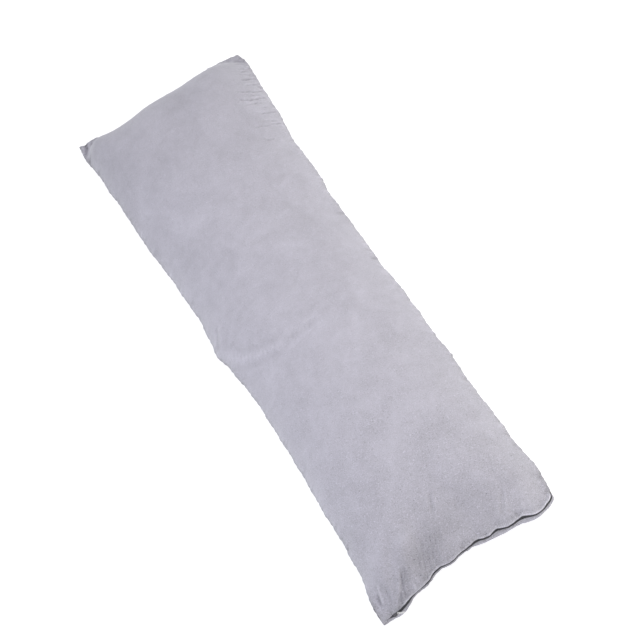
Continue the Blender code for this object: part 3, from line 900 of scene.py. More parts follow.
# %% [markdown]
# The zip is modelled straight, along X on the bench, with its face up, and is then bent
# into the slot, as a Curve modifier would do it.  Doing it in a function gives the turn
# about its own length too, because the slot slants from lip to lip.  The route is read
# from the two lips: its middle, the way across from front to back, and the way out.
# %% The slot's route
SLOT_STEP = 0.001
ZIP_SINK = 0.0016              # of the zip's face behind the lips


def resample(line, along, at):
    """Points of a line at the given distances along it."""
    return np.stack([np.interp(at, along, line[:, axis]) for axis in range(3)], axis=1)


def unit(vectors):
    """Vectors of length 1."""
    return vectors / np.linalg.norm(vectors, axis=-1, keepdims=True)


def slot_route(piece):
    """Stations along the slot: distance, middle, way across, way out and lip gap."""
    points = points_of(piece)
    front, back = points[front_ring], points[back_ring]
    quarter = len(front) // 4
    in_slot = (front[:quarter, 0] > ZIP_LOW.x) & (front[:quarter, 1] < ZIP_HIGH.y)
    front = front[:quarter][in_slot]
    beside = measure_to_ring(front, back)[0]
    back = resample(back, travel(back), beside)
    along = travel(front)
    at = np.arange(0, along[-1], SLOT_STEP)
    front, back = resample(front, along, at), resample(back, along, at)
    forward = unit(np.gradient((front + back) / 2, axis=0))
    across = back - front
    gap = np.linalg.norm(across - forward * np.sum(across * forward, axis=1)[:, None], axis=1)
    out = unit(np.cross(across, forward))
    across = np.cross(forward, out)
    middle = (front + back) / 2 - out * ZIP_SINK
    return at, middle, across, out, gap


route_at, route_middle, route_across, route_out, route_gap = slot_route(cover)
ZIP_LENGTH = route_at[-1]
print("the slot is", round(1000 * ZIP_LENGTH), "mm long and its lips are",
      round(1000 * route_gap.min(), 1), "to", round(1000 * route_gap.max(), 1), "mm apart")

# %% [markdown]
# Bending moves each point of the straight zip by where it lies along it: along the route
# for x, across it for y and out of it for z.  A finished piece's object stays at the
# origin with its place in its mesh.
# %% Bend a straight piece into the slot
def bend_into_slot(piece, fill_gap=False):
    """Move a straight piece's points to the slot; with fill_gap, y is a share of the gap."""
    points = points_of(piece)
    at = points[:, 0]
    across = points[:, 1] * (np.interp(at, route_at, route_gap) if fill_gap else 1.0)
    placed = resample(route_middle, route_at, at)
    placed += unit(resample(route_across, route_at, at)) * across[:, None]
    placed += unit(resample(route_out, route_at, at)) * points[:, 2][:, None]
    put_points(piece, placed)


def apply_modifiers(piece):
    """Apply all of a piece's modifiers in order."""
    select_only(piece)
    for modifier in list(piece.modifiers):
        bpy.ops.object.modifier_apply(modifier=modifier.name)


def settle(piece, name):
    """Name a piece and put its place, turn and scale into its mesh."""
    piece.name = piece.data.name = name
    select_only(piece)
    bpy.ops.object.transform_apply(location=True, rotation=True, scale=True)


def joined(parts, name):
    """One piece made of several, named and settled."""
    select_only(*parts)
    bpy.ops.object.join()
    piece = bpy.context.object
    settle(piece, name)
    return piece


# %% [markdown]
# The tape is a woven strip that both lips are stitched to.  Only the part between the lips
# shows, so that is what is made: a grid almost as wide as the gap, given a thickness.
# %% Zip tape
TAPE_THICK = 0.0007
TAPE_SHARE = 0.94              # of the gap between the lips
TAPE_CELL = 0.0012
TAPE_ROWS = 6
TAPE_SHARP = math.radians(40)


def add_zip_tape():
    """The woven strip at the back of the slot's mouth."""
    cells = int(ZIP_LENGTH / TAPE_CELL)
    bpy.ops.object.select_all(action="DESELECT")
    bpy.ops.mesh.primitive_grid_add(x_subdivisions=cells, y_subdivisions=TAPE_ROWS, size=1,
                                    location=(ZIP_LENGTH / 2, 0, 0))
    tape = bpy.context.object
    tape.scale = (ZIP_LENGTH, TAPE_SHARE, 1)
    settle(tape, "zip_tape")
    bend_into_slot(tape, fill_gap=True)
    thickness = tape.modifiers.new("thickness", "SOLIDIFY")
    thickness.thickness = TAPE_THICK
    thickness.offset = -1
    apply_modifiers(tape)
    bpy.ops.object.shade_smooth_by_angle(angle=TAPE_SHARP)
    return tape


zip_tape = add_zip_tape()
print("the tape has", len(zip_tape.data.polygons), "faces")

# %% [markdown]
# The teeth of this zip are a coil: one nylon wire wound along each tape, whose loops lock
# into each other.  From outside a loop is a short rounded bar with a thicker head past the
# middle.  One pair of bars is made, one from each side, and an Array modifier repeats it
# every tooth.  There are hundreds of them, so a bar has only about twenty faces.
# %% Zip coil
TOOTH_PITCH = 0.0013
TOOTH_RADIUS = 0.00040
TOOTH_LENGTH = 0.0021
TOOTH_HEAD = 1.35              # width of the head over the wire
TOOTH_SIDES = 6
TOOTH_OFF = 0.40               # how far a bar lies off the middle, in its lengths
TOOTH_ROUND = 0.5              # rounding of its ends, over the wire's radius
TOOTH_BEVEL = math.radians(70)              # edges sharper than this are rounded
TOOTH_SHARP = math.radians(50)              # and those sharper than this stay sharp
TOOTH_PAIRS = int(ZIP_LENGTH / TOOTH_PITCH) - 1


def bevel(piece, width, segments, sharper_than):
    """Round a piece's sharp edges."""
    rounding = piece.modifiers.new("rounding", "BEVEL")
    rounding.width = width
    rounding.segments = segments
    rounding.angle_limit = sharper_than
    apply_modifiers(piece)


def add_tooth(side):
    """One bar of the coil, from the side's edge to just past the middle."""
    bpy.ops.object.select_all(action="DESELECT")
    bpy.ops.mesh.primitive_cylinder_add(
        vertices=TOOTH_SIDES, radius=TOOTH_RADIUS, depth=TOOTH_LENGTH,
        location=((0.5 + side / 4) * TOOTH_PITCH, side * TOOTH_LENGTH * TOOTH_OFF,
                  TOOTH_RADIUS),
        rotation=(math.pi / 2, 0, 0))
    tooth = bpy.context.object
    settle(tooth, "tooth")
    points = points_of(tooth)
    head = np.sign(points[:, 1]) != side
    middle = points.mean(axis=0)
    points[head] = middle + (points[head] - middle) * (TOOTH_HEAD, 1, TOOTH_HEAD)
    put_points(tooth, points)
    bevel(tooth, TOOTH_RADIUS * TOOTH_ROUND, 1, TOOTH_BEVEL)
    return tooth


def add_zip_coil():
    """Both rows of the closed coil, bent into the slot."""
    coil = joined([add_tooth(-1), add_tooth(1)], "zip_coil")
    repeat = coil.modifiers.new("repeat", "ARRAY")
    repeat.use_relative_offset = False
    repeat.use_constant_offset = True
    repeat.constant_offset_displace = (TOOTH_PITCH, 0, 0)
    repeat.count = TOOTH_PAIRS
    apply_modifiers(coil)
    bend_into_slot(coil)
    bpy.ops.object.shade_smooth_by_angle(angle=TOOTH_SHARP)
    return coil


zip_coil = add_zip_coil()
print("the coil has", 2 * TOOTH_PAIRS, "teeth and", len(zip_coil.data.polygons), "faces")

# %% [markdown]
# Slider and pull tab are small castings.  Their packed blocks say where they sit and how
# they are turned: the directions of a block come from the spread of its own corners, the
# longest side first.  The castings are modelled lying flat, with X along the zip.
# %% Where the fittings sit
def block_axes(packed_node):
    """Middle, directions (along the zip, down, out) and size of a packed block."""
    block = frame["nodes"][packed_node]
    corners = np.array([vertex.co for vertex in block.data.vertices])
    corners = np.unique(corners.round(6), axis=0)
    middle = corners.mean(axis=0)
    spread = np.linalg.eigh(np.cov((corners - middle).T))[1].T[::-1]
    along = spread[0] * np.sign(spread[0][0])
    out = spread[2] * -np.sign(spread[2][1])
    down = np.cross(along, out)
    down *= -np.sign(down[2])
    axes = np.stack([along, down, out])
    reach = (corners - middle) @ axes.T
    middle = middle + ((reach.max(axis=0) + reach.min(axis=0)) / 2) @ axes
    return middle, axes, reach.max(axis=0) - reach.min(axis=0)


def place_on_block(piece, packed_node):
    """Move a flat-lying piece to a packed block's place and turn."""
    middle, axes = block_axes(packed_node)[:2]
    put_points(piece, middle + points_of(piece) @ axes)
    in_edit_mode(piece,
                 select_whole,
                 lambda: bpy.ops.mesh.normals_make_consistent(inside=False))


for fitting in ("zip_slider", "zip_pull"):
    print(fitting, "is", [round(1000 * side, 1) for side in block_axes(fitting)[2]], "mm")

# %% [markdown]
# The slider is a flat shield, wide at the end where the two rows part and narrower at the
# other, with a raised rim round its face and a small bridge on it for the pull.  The shield
# is a cube with one end scaled down and its face inset and sunk, and the bridge is a bar
# whose two ends are extruded down.
# %% Zip slider
SHIELD_THICK = 0.0010
SHIELD_TAPER = 0.70
SHIELD_RIM = 0.0007
SHIELD_SINK = 0.25             # of its face inside the rim, over its thickness
BRIDGE_SIZE = (0.0044, 0.0013, 0.0005)
BRIDGE_HEIGHT = 0.0013
BRIDGE_FOOT = 0.0006           # length of each end that reaches down
CASTING_ROUND = 0.00022
CASTING_BEVEL = math.radians(30)
CASTING_SHARP = math.radians(35)
FACING = 0.9                   # least cosine between a face's normal and the way it faces


def faces_facing(piece, direction):
    """A flag for each face: does it face that way?"""
    direction = Vector(direction)
    return [face.normal.dot(direction) > FACING for face in piece.data.polygons]


def add_box(name, size, place=(0, 0, 0)):
    """A box of the given size with its place in its mesh."""
    bpy.ops.object.select_all(action="DESELECT")
    bpy.ops.mesh.primitive_cube_add(size=1, location=place)
    box = bpy.context.object
    box.scale = size
    settle(box, name)
    return box


def round_off(piece):
    """Bevel a casting's edges and shade it."""
    bevel(piece, CASTING_ROUND, 2, CASTING_BEVEL)
    bpy.ops.object.shade_smooth_by_angle(angle=CASTING_SHARP)


def cut_across(piece, places):
    """Cut a piece across X at each place."""
    for place in places:
        in_edit_mode(piece,
                     select_whole,
                     lambda: bpy.ops.mesh.bisect(plane_co=(place, 0, 0), plane_no=(1, 0, 0)))


def add_shield(size):
    """The slider's front plate."""
    shield = add_box("shield", (size[0], size[1], SHIELD_THICK))
    edit_faces(shield, faces_facing(shield, (-1, 0, 0)),
               lambda: bpy.ops.transform.resize(value=(1, SHIELD_TAPER, 1)))
    edit_faces(shield, faces_facing(shield, (0, 0, 1)),
               lambda: bpy.ops.mesh.inset(thickness=SHIELD_RIM, depth=0),
               lambda: bpy.ops.transform.translate(value=(0, 0, -SHIELD_THICK * SHIELD_SINK)))
    return shield


def add_bridge():
    """The arched bar on the shield that holds the pull."""
    bridge = add_box("bridge", BRIDGE_SIZE, (0, 0, BRIDGE_HEIGHT))
    inner = BRIDGE_SIZE[0] / 2 - BRIDGE_FOOT
    cut_across(bridge, (-inner, inner))
    ends = [face.normal.z < -FACING and abs(face.center.x) > inner
            for face in bridge.data.polygons]
    edit_faces(bridge, ends,
               lambda: bpy.ops.mesh.extrude_region_move(
                   TRANSFORM_OT_translate={"value": (0, 0, -BRIDGE_HEIGHT)}))
    return bridge


def add_slider():
    """The slider: shield and bridge, rounded and joined."""
    size = block_axes("zip_slider")[2]
    parts = [add_shield(size), add_bridge()]
    for part in parts:
        round_off(part)
    slider = joined(parts, "zip_slider_casting")
    place_on_block(slider, "zip_slider")
    return slider


slider = add_slider()
print("the slider has", len(slider.data.polygons), "faces")

# %% [markdown]
# The pull tab is a thin plate with an eye at one end that hangs on the bridge.  It starts
# as a plate that is cut across in three places.  The neck and the tip are drawn in, the
# eye is made by insetting the top and bottom of the end section, deleting the inset faces
# and bridging the two loops that are left, and a bevel rounds all of it off.
# %% Zip pull
PULL_CUTS = (-0.30, -0.14, 0.36)     # shares of the length from the middle
PULL_NECK = 0.62                     # width of the neck and the tip over the plate's
EYE_RIM = 0.0008


def open_eye(piece, limit):
    """Cut a through hole in the section of a plate that lies before the limit."""
    ends = [abs(face.normal.z) > FACING and face.center.x < limit
            for face in piece.data.polygons]
    edit_faces(piece, ends,
               lambda: bpy.ops.mesh.inset(thickness=EYE_RIM, depth=0, use_individual=True),
               lambda: bpy.ops.mesh.delete(type="FACE"))
    in_edit_mode(piece,
                 lambda: bpy.ops.mesh.select_mode(type="EDGE"),
                 lambda: bpy.ops.mesh.select_non_manifold(),
                 lambda: bpy.ops.mesh.bridge_edge_loops())


def add_pull():
    """The pull tab, with its eye at the slider's end."""
    size = block_axes("zip_pull")[2]
    pull = add_box("pull", tuple(size))
    cuts = [share * size[0] for share in PULL_CUTS]
    cut_across(pull, cuts)
    points = points_of(pull)
    narrow = np.isclose(points[:, 0], cuts[1]) | np.isclose(points[:, 0], size[0] / 2)
    points[narrow, 1] *= PULL_NECK
    put_points(pull, points)
    open_eye(pull, cuts[0])
    round_off(pull)
    settle(pull, "zip_pull_casting")
    place_on_block(pull, "zip_pull")
    return pull


pull = add_pull()
print("the pull has", len(pull.data.polygons), "faces")

# %% [markdown]
# At each end of the slot a bar tack closes it: seven tight stitches of thread side by
# side, from lip to lip over the zip.  One stitch is a small sphere whose halves are moved
# apart, as far as the lips there ask, and bulged over the coil.  The stitches stand a
# thread apart, and the tack is modelled straight, like the zip.
# %% Bar tacks
THREAD_RADIUS = 0.00035
STITCH_SIDES = 8
TACK_STITCHES = 7
TACK_REACH = 1.35              # length of a stitch over the gap between the lips
TACK_AT = (0.0015, ZIP_LENGTH - 0.0060)


def add_stitch(x, length):
    """One straight stitch across the slot."""
    bpy.ops.object.select_all(action="DESELECT")
    bpy.ops.mesh.primitive_uv_sphere_add(segments=STITCH_SIDES, ring_count=STITCH_SIDES,
                                         radius=THREAD_RADIUS, location=(x, 0, 0),
                                         rotation=(math.pi / 2, 0, 0))
    stitch = bpy.context.object
    settle(stitch, "stitch")
    points = points_of(stitch)
    points[:, 1] += np.sign(points[:, 1]).round() * (length / 2 - THREAD_RADIUS)
    bulge = 1 - (points[:, 1] / (length / 2)) ** 2
    points[:, 2] += ZIP_SINK + THREAD_RADIUS * bulge
    put_points(stitch, points)
    return stitch


def add_tacks():
    """The bar tacks at both ends of the slot, as one piece of thread."""
    stitches = []
    for start in TACK_AT:
        for number in range(TACK_STITCHES):
            x = start + number * 2 * THREAD_RADIUS
            gap = float(np.interp(x, route_at, route_gap))
            stitches.append(add_stitch(x, gap * TACK_REACH))
    tacks = joined(stitches, "zip_end_tacks")
    bend_into_slot(tacks)
    bpy.ops.object.shade_smooth()
    return tacks


tacks = add_tacks()
print("the tacks have", len(tacks.data.polygons), "faces")

# %% [markdown]
# Materials start with their shared effects.  A node group is a function for shaders: it is
# built once with named inputs and outputs, and each material places it with its own
# numbers.  This pillow needs three: the clouds of a brushed nap, the grain of fibres and
# the weave of a tape.  A few helpers that add and link nodes come first.
# %% Node helpers
NOISE_MIDDLE = 0.5             # about which a Noise Texture varies


def node(tree, kind, **values):
    """Add a node; values name its settings, or its input sockets with _ for a space."""
    made = tree.nodes.new(kind)
    for name, value in values.items():
        if hasattr(made, name):
            setattr(made, name, value)
        else:
            set_inputs(made, **{name: value})
    return made


def wire(tree, *pairs):
    """Link (node, output) to (node, input) for each pair."""
    for (source, output), (target, entry) in pairs:
        tree.links.new(source.outputs[output], target.inputs[entry])


def calculate(tree, operation, *terms):
    """Join terms, each a number or a (node, output), by Math nodes; a (node, output)."""
    total = terms[0]
    for term in terms[1:]:
        made = node(tree, "ShaderNodeMath", operation=operation)
        for index, operand in enumerate((total, term)):
            if isinstance(operand, tuple):
                wire(tree, (operand, (made, index)))
            else:
                made.inputs[index].default_value = operand
        total = (made, 0)
    return total


def shader_group(name, inputs, outputs):
    """A node group with float inputs of given values beside Vector, and float outputs."""
    group = bpy.data.node_groups.new(name, "ShaderNodeTree")
    group.interface.new_socket(name="Vector", in_out="INPUT", socket_type="NodeSocketVector")
    for socket, value in inputs.items():
        made = group.interface.new_socket(name=socket, in_out="INPUT",
                                          socket_type="NodeSocketFloat")
        made.default_value = value
    for socket in outputs:
        group.interface.new_socket(name=socket, in_out="OUTPUT", socket_type="NodeSocketFloat")
    return group, group.nodes.new("NodeGroupInput"), group.nodes.new("NodeGroupOutput")


# %% [markdown]
# The clouds are fractal noise: a Noise Texture adds octave after octave, each finer and
# weaker.  A warp by a second noise pulls the clouds into streaks, as a brushing hand does.
# %% Brushed patches
def brushed_patches():
    """Soft clouds about 0, from -1 to 1, at a size in metres."""
    group, start, end = shader_group(
        "brushed_patches", {"Size": 0.06, "Detail": 5.0, "Roughness": 0.6, "Warp": 0.5},
        ("Shade",))
    scale = calculate(group, "DIVIDE", 1.0, (start, "Size"))
    warp = node(group, "ShaderNodeTexNoise", noise_dimensions="3D", Detail=1.0)
    shift = node(group, "ShaderNodeVectorMath", operation="SUBTRACT")
    shift.inputs[1].default_value = (NOISE_MIDDLE,) * 3
    reach = calculate(group, "MULTIPLY", (start, "Size"), (start, "Warp"))
    grow = node(group, "ShaderNodeVectorMath", operation="SCALE")
    moved = node(group, "ShaderNodeVectorMath", operation="ADD")
    clouds = node(group, "ShaderNodeTexNoise", noise_dimensions="3D")
    wire(group,
         ((start, "Vector"), (warp, "Vector")), (scale, (warp, "Scale")),
         ((warp, "Color"), (shift, 0)), ((shift, 0), (grow, 0)), (reach, (grow, "Scale")),
         ((start, "Vector"), (moved, 0)), ((grow, 0), (moved, 1)),
         ((moved, 0), (clouds, "Vector")), (scale, (clouds, "Scale")),
         ((start, "Detail"), (clouds, "Detail")),
         ((start, "Roughness"), (clouds, "Roughness")))
    centred = calculate(group, "SUBTRACT", (clouds, 0), NOISE_MIDDLE)
    wire(group, (calculate(group, "MULTIPLY", centred, 2.0), (end, "Shade")))
    return group


PATCHES = brushed_patches()
print("built the group", PATCHES.name)

# %% [markdown]
# Grain is two noises, one at the size of a tuft of fibres and one at less than half of it.
# It gives a speckle for the colour and a height for a Bump node.  The speckle is the noise
# times its own size: that keeps its sign but leaves only the strongest tufts as dark and
# light dots.
# %% Fibre grain
SPARSENESS = 6.0
TIPS_FINER = 2.3               # how much finer the fibres' tips are than their tufts


def fibre_grain():
    """Fine speckle about 0 and its relief, at a size in metres."""
    group, start, end = shader_group("fibre_grain", {"Size": 0.002}, ("Speckle", "Height"))
    scale = calculate(group, "DIVIDE", 1.0, (start, "Size"))
    finer = calculate(group, "MULTIPLY", scale, TIPS_FINER)
    tufts = node(group, "ShaderNodeTexNoise", noise_dimensions="3D", Detail=2.0, Roughness=0.7)
    tips = node(group, "ShaderNodeTexNoise", noise_dimensions="3D", Detail=1.0)
    for noise, size in ((tufts, scale), (tips, finer)):
        wire(group, ((start, "Vector"), (noise, "Vector")), (size, (noise, "Scale")))
    centred = calculate(group, "SUBTRACT", (tufts, 0), NOISE_MIDDLE)
    strength = calculate(group, "ABSOLUTE", centred, 0.0)
    speckle = calculate(group, "MULTIPLY", centred, strength, SPARSENESS)
    relief = calculate(group, "ADD", (tufts, 0), (tips, 0))
    wire(group, (speckle, (end, "Speckle")), (relief, (end, "Height")))
    return group


GRAIN = fibre_grain()
print("built the group", GRAIN.name)

# %% [markdown]
# The weave of a tape is two crossing waves: the threads that run along it and those that
# run across.  Multiplied they give the dimples between the threads.
# %% Woven threads
def woven_threads():
    """The relief of a plain weave along X and across it, with its pitch in metres."""
    group, start, end = shader_group("woven_threads", {"Pitch": 0.0006}, ("Height",))
    split = node(group, "ShaderNodeSeparateXYZ")
    wire(group, ((start, "Vector"), (split, 0)))
    turn = calculate(group, "DIVIDE", math.tau, (start, "Pitch"))
    waves = []
    for axis in ("X", "Z"):
        angle = calculate(group, "MULTIPLY", (split, axis), turn)
        waves.append(calculate(group, "SINE", angle, 0.0))
    wire(group, (calculate(group, "MULTIPLY", *waves), (end, "Height")))
    return group


WEAVE = woven_threads()
print("built the group", WEAVE.name)

# %% [markdown]
# Velour looks darker where a hand has stroked its nap one way, and paler the other way.
# Noise places those small patches, further down.  The broad spots here are painted shade and
# painted light at known places on this pillow, and a short table of soft round spots names
# them.
# %% Painted shade and light spots
# place along X and Y and reach in m, and how much painted shade (+) or painted light (-) it
# adds
PAINTED_SPOTS = [
    (-0.08, -0.68, 0.075, 0.10), (0.16, -0.71, 0.050, -0.11), (-0.20, 0.62, 0.060, 0.11),
    (-0.19, 0.50, 0.060, 0.08), (-0.04, 0.60, 0.050, -0.08), (-0.09, 0.30, 0.055, -0.08),
]


def painted_spot_tone(points):
    """How much painted shade (+) or painted light (-) the spots put on each point."""
    tone = np.zeros(len(points))
    for x, y, reach, dark in PAINTED_SPOTS:
        tone += dark * bell(np.hypot(points[:, 0] - x, points[:, 1] - y), 0, reach)
    return tone


# the broad strokes counted here are painted shade and painted light
print(len(PAINTED_SPOTS), "broad strokes in the nap")

# %% [markdown]
# Some things about the cover can't be read from its place alone: how far a point is from
# the sewing, how much painted shade or light its pucker gives it, how much painted shade or
# light the broad spots give it, whether it is on the very edge of the hem, which gets a
# painted highlight, and whether it is inside the slot, which gets painted shade.  They are
# stored on its points as named attributes, which a material reads with an Attribute node.
# %% Store the sewing for the material
SEWING_REACH = 0.020
HEM_HIGHLIGHT_AT = 0.0013             # in from the lip
HEM_HIGHLIGHT_WIDTH = 0.0017


def store(piece, name, values):
    """A named float attribute, one value for each point."""
    layer = piece.data.attributes.new(name, "FLOAT", "POINT")
    layer.data.foreach_set("value", np.asarray(values, dtype=np.float32))


def hem_highlight_mask(piece, ring, side):
    """Where the painted highlight goes: 1 on the edge of the front hem and 0 elsewhere."""
    points = points_of(piece)
    distance = measure_to_ring(points, points[ring])[1]
    return bell(distance, HEM_HIGHLIGHT_AT, HEM_HIGHLIGHT_WIDTH) * side * zip_mask(points)


store(cover, "near_sewing", 1 - np.clip(distance_from_folds(cover) / SEWING_REACH, 0, 1))
store(cover, "in_trough", in_trough)
store(cover, "stroked", painted_spot_tone(points_of(cover)))
store(cover, "rubbed", hem_highlight_mask(cover, front_ring, on_front))
# the cloth inside the slot gets painted shade
store(cover, "in_slot", np.clip(1 - on_front - on_back, 0, 1))
print("stored", [layer.name for layer in cover.data.attributes if layer.data_type == "FLOAT"])

# %% [markdown]
# Short plush is a velour: its fibres stand up, so it is matt, it glows at a slant, which
# the sheen gives, and each stroke of a hand leaves a paler or darker patch.  The colour is
# one lilac grey, brightened and darkened by patches at two sizes and by the speckle of the
# fibres.  Towards the sewing it turns a darker neutral grey, which is painted shade.
# %% Parts of a finish
def placed_group(tree, place, group, **values):
    """A node group with its own numbers, that follows the piece's Object coordinates."""
    made = node(tree, "ShaderNodeGroup", node_tree=group, **values)
    wire(tree, ((place, "Object"), (made, "Vector")))
    return made


def stored(tree, name):
    """An attribute stored on the cover, as a (node, output)."""
    return node(tree, "ShaderNodeAttribute", attribute_name=name), "Fac"


def mix_colour(tree, share, first, second):
    """A mix of two colours by a (node, output) share, as an output socket."""
    made = node(tree, "ShaderNodeMix", data_type="RGBA")
    entries = {socket.identifier: socket for socket in made.inputs}
    entries["A_Color"].default_value = (*first, 1)
    entries["B_Color"].default_value = (*second, 1)
    tree.links.new(share[0].outputs[share[1]], entries["Factor_Float"])
    return {socket.identifier: socket for socket in made.outputs}["Result_Color"]


def shaded_colour(tree, shader, colour, shade):
    """Colour the shader with a colour, fixed or from an output socket, times a shade."""
    bright = node(tree, "ShaderNodeVectorMath", operation="SCALE")
    if isinstance(colour, tuple):
        bright.inputs[0].default_value = colour
    else:
        tree.links.new(colour, bright.inputs[0])
    wire(tree, (shade, (bright, "Scale")), ((bright, 0), (shader, "Base Color")))


def relief_normal(tree, shader, height, strength=1.0):
    """Feed a height in metres to the shader's normal through a Bump node."""
    bump = node(tree, "ShaderNodeBump", Strength=strength, Distance=1.0)
    wire(tree, (height, (bump, "Height")), ((bump, 0), (shader, "Normal")))


print("patches, grain and weave are ready to place")

# %% [markdown]
# The nap is brushed smooth at the head and left rough at the foot, so the speckle grows
# from +Y to -Y.  A Map Range node makes that ramp, and the broad patches shift it, so that
# it doesn't end in a straight line.
# %% Plush
PLUSH_COLOUR = (0.500, 0.484, 0.560)
SEWING_SHADE_COLOUR = (0.440, 0.428, 0.485)
SEWING_SHADE_STEEPNESS = 4.0           # how suddenly the painted shade comes in towards the sewing
PATCH_CONTRAST = 0.16
BLOTCH_CONTRAST = 0.11
SPECKLE_CONTRAST = 1.50
SMOOTH_END = (-0.12, 0.48)     # along Y, and the share of the speckle there
ROUGH_END = (-0.66, 1.0)
ROUGH_SHIFT = 0.5              # of the ramp between them by the patches, in m
ROUGH_EDGE = 0.45              # more of it beside the sewing
# painted shade in the pucker troughs, painted light on their shoulders
TROUGH_PAINTED_SHADE = 0.20
# painted highlight on the edge of the front hem
HEM_PAINTED_HIGHLIGHT = 0.75
# painted shade on the cloth inside the slot
SLOT_PAINTED_SHADE = 0.80
FIBRE_RELIEF = 0.0007
BLOTCH_RELIEF = 0.0010
PLUSH_BUMP = 0.8


def attribute_share(tree, name, factor):
    """A stored attribute times a factor."""
    return calculate(tree, "MULTIPLY", stored(tree, name), factor)


def roughness_of_nap(tree, place, patches):
    """How rough the nap is: a ramp along Y, shifted by the patches, and more at the edges."""
    split = node(tree, "ShaderNodeSeparateXYZ")
    shift = calculate(tree, "MULTIPLY", (patches, "Shade"), ROUGH_SHIFT)
    ramp = node(tree, "ShaderNodeMapRange", interpolation_type="SMOOTHSTEP",
                From_Min=ROUGH_END[0], To_Min=ROUGH_END[1],
                From_Max=SMOOTH_END[0], To_Max=SMOOTH_END[1])
    wire(tree, ((place, "Object"), (split, 0)),
         (calculate(tree, "ADD", (split, "Y"), shift), (ramp, "Value")))
    return calculate(tree, "ADD", (ramp, 0), attribute_share(tree, "near_sewing", ROUGH_EDGE))


def plush_material():
    """Lilac-grey velour with brushed patches."""
    tree, shader, plush = principled("plush_velour")
    place = node(tree, "ShaderNodeTexCoord")
    patches = placed_group(tree, place, PATCHES,
                           Size=0.075, Detail=3.0, Roughness=0.62, Warp=0.9)
    blotches = placed_group(tree, place, PATCHES,
                            Size=0.018, Detail=3.0, Roughness=0.7, Warp=0.5)
    grain = placed_group(tree, place, GRAIN, Size=0.0023)
    nap = roughness_of_nap(tree, place, patches)
    shade = calculate(
        tree, "ADD",
        calculate(tree, "MULTIPLY", (patches, "Shade"), PATCH_CONTRAST),
        calculate(tree, "MULTIPLY", (blotches, "Shade"), BLOTCH_CONTRAST),
        calculate(tree, "MULTIPLY", (grain, "Speckle"), SPECKLE_CONTRAST, nap),
        1.0,
        attribute_share(tree, "in_trough", -TROUGH_PAINTED_SHADE),
        attribute_share(tree, "stroked", -1.0),
        attribute_share(tree, "rubbed", HEM_PAINTED_HIGHLIGHT),
        attribute_share(tree, "in_slot", -SLOT_PAINTED_SHADE))
    # painted shade: a darker neutral grey towards the sewing
    edge = calculate(tree, "POWER", stored(tree, "near_sewing"), SEWING_SHADE_STEEPNESS)
    shaded_colour(tree, shader, mix_colour(tree, edge, PLUSH_COLOUR, SEWING_SHADE_COLOUR), shade)
    height = calculate(
        tree, "ADD",
        calculate(tree, "MULTIPLY", (grain, "Height"), FIBRE_RELIEF, nap),
        calculate(tree, "MULTIPLY", (blotches, "Shade"), BLOTCH_RELIEF))
    relief_normal(tree, shader, height, PLUSH_BUMP)
    set_inputs(shader, Roughness=0.95, Specular_IOR_Level=0.2, Sheen_Weight=0.40,
               Sheen_Roughness=0.55, Sheen_Tint=(0.96, 0.98, 1.0, 1))
    return plush


cover.data.materials.append(plush_material())
print("the cover is", cover.data.materials[0].name)

# %% [markdown]
# The zip's tape is woven polyester and its coil nylon with a soft gloss; their dark colour is
# partly their own and partly the painted shade of the slot.  The slider's dark grey enamel is
# painted shade under the pull, and the pull's enamel a pale grey, both dulled in places, and
# the tacks are sewn in a grey thread.  All reuse the three groups with their own sizes.
# %% Zip materials
# the tape and coil are dark partly in their own colour and partly as the slot's painted shade
TAPE_COLOUR_WITH_SLOT_SHADE = (0.048, 0.047, 0.056)
COIL_COLOUR_WITH_SLOT_SHADE = (0.060, 0.058, 0.068)
# the slider's dark grey is painted shade under the pull
SLIDER_PAINTED_SHADE_COLOUR = (0.20, 0.195, 0.215)
PULL_COLOUR = (0.85, 0.84, 0.86)
THREAD_COLOUR = (0.16, 0.155, 0.175)
TAPE_RELIEF = 0.00008
COIL_RELIEF = 0.00002
ENAMEL_RELIEF = 0.00004
THREAD_RELIEF = 0.00008


def about(tree, middle, source, contrast):
    """A (node, output) that varies about a middle with a shade that varies about 0."""
    return calculate(tree, "ADD", calculate(tree, "MULTIPLY", source, contrast), middle)


def tape_material():
    """Woven polyester, dark partly in its own colour and partly as the slot's painted shade.
    """
    tree, shader, tape = principled("zip_tape_woven")
    place = node(tree, "ShaderNodeTexCoord")
    weave = placed_group(tree, place, WEAVE, Pitch=0.0007)
    dust = placed_group(tree, place, PATCHES, Size=0.012)
    shaded_colour(tree, shader, TAPE_COLOUR_WITH_SLOT_SHADE, about(tree, 1.0, (dust, "Shade"), 0.4))
    relief_normal(tree, shader, calculate(tree, "MULTIPLY", (weave, "Height"), TAPE_RELIEF))
    set_inputs(shader, Roughness=0.8)
    return tape


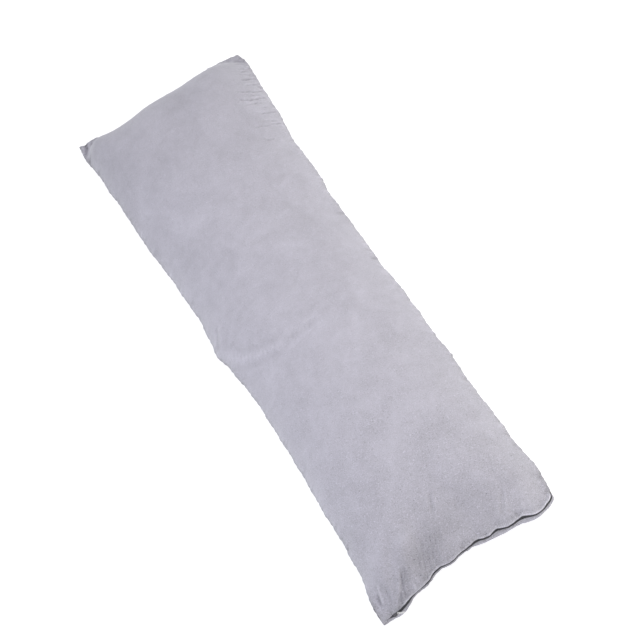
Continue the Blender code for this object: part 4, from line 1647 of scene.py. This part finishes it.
def coil_material():
    """Nylon wire, dark partly in its own colour and partly as the slot's painted shade."""
    tree, shader, nylon = principled("zip_coil_nylon")
    place = node(tree, "ShaderNodeTexCoord")
    wear = placed_group(tree, place, PATCHES, Size=0.006)
    grain = placed_group(tree, place, GRAIN, Size=0.0003)
    shaded_colour(tree, shader, COIL_COLOUR_WITH_SLOT_SHADE, about(tree, 1.0, (wear, "Shade"), 0.3))
    relief_normal(tree, shader, calculate(tree, "MULTIPLY", (grain, "Height"), COIL_RELIEF))
    set_inputs(shader, Roughness=0.38)
    return nylon


def enamel_material(name, colour):
    """Grey enamel, a little dulled."""
    tree, shader, enamel = principled(name)
    place = node(tree, "ShaderNodeTexCoord")
    wear = placed_group(tree, place, PATCHES, Size=0.004)
    shaded_colour(tree, shader, colour, about(tree, 1.0, (wear, "Shade"), 0.08))
    wire(tree, (about(tree, 0.34, (wear, "Shade"), 0.2), (shader, "Roughness")))
    relief_normal(tree, shader, calculate(tree, "MULTIPLY", (wear, "Shade"), ENAMEL_RELIEF))
    set_inputs(shader, Metallic=0.35)
    return enamel


def thread_material():
    """Grey sewing thread."""
    tree, shader, thread = principled("sewing_thread")
    place = node(tree, "ShaderNodeTexCoord")
    grain = placed_group(tree, place, GRAIN, Size=0.0004)
    shaded_colour(tree, shader, THREAD_COLOUR, about(tree, 1.0, (grain, "Speckle"), 0.8))
    relief_normal(tree, shader, calculate(tree, "MULTIPLY", (grain, "Height"), THREAD_RELIEF))
    set_inputs(shader, Roughness=0.75)
    return thread


for piece, finish in ((zip_tape, tape_material()), (zip_coil, coil_material()),
                      (slider, enamel_material("slider_enamel", SLIDER_PAINTED_SHADE_COLOUR)),
                      (pull, enamel_material("pull_enamel", PULL_COLOUR)),
                      (tacks, thread_material())):
    piece.data.materials.clear()
    piece.data.materials.append(finish)
    print(piece.name, "is", finish.name)

# %% [markdown]
# Last, each piece says which body it rides on, which imported node it stands for and which
# finish of the record it takes.  The pillow has one body, so all of them ride on that.
PIECES = [
    # piece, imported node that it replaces, finish
    (cover, "pillow", "plush"),
    (zip_tape, "zip_chain", "zip"),
    (zip_coil, "zip_chain", "zip"),
    (slider, "zip_slider", "zip_fitting"),
    (pull, "zip_pull", "zip_fitting"),
    (tacks, None, "zip"),
]
for piece, packed_node, finish in PIECES:
    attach(piece, "root")
    if packed_node:
        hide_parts(packed_node)
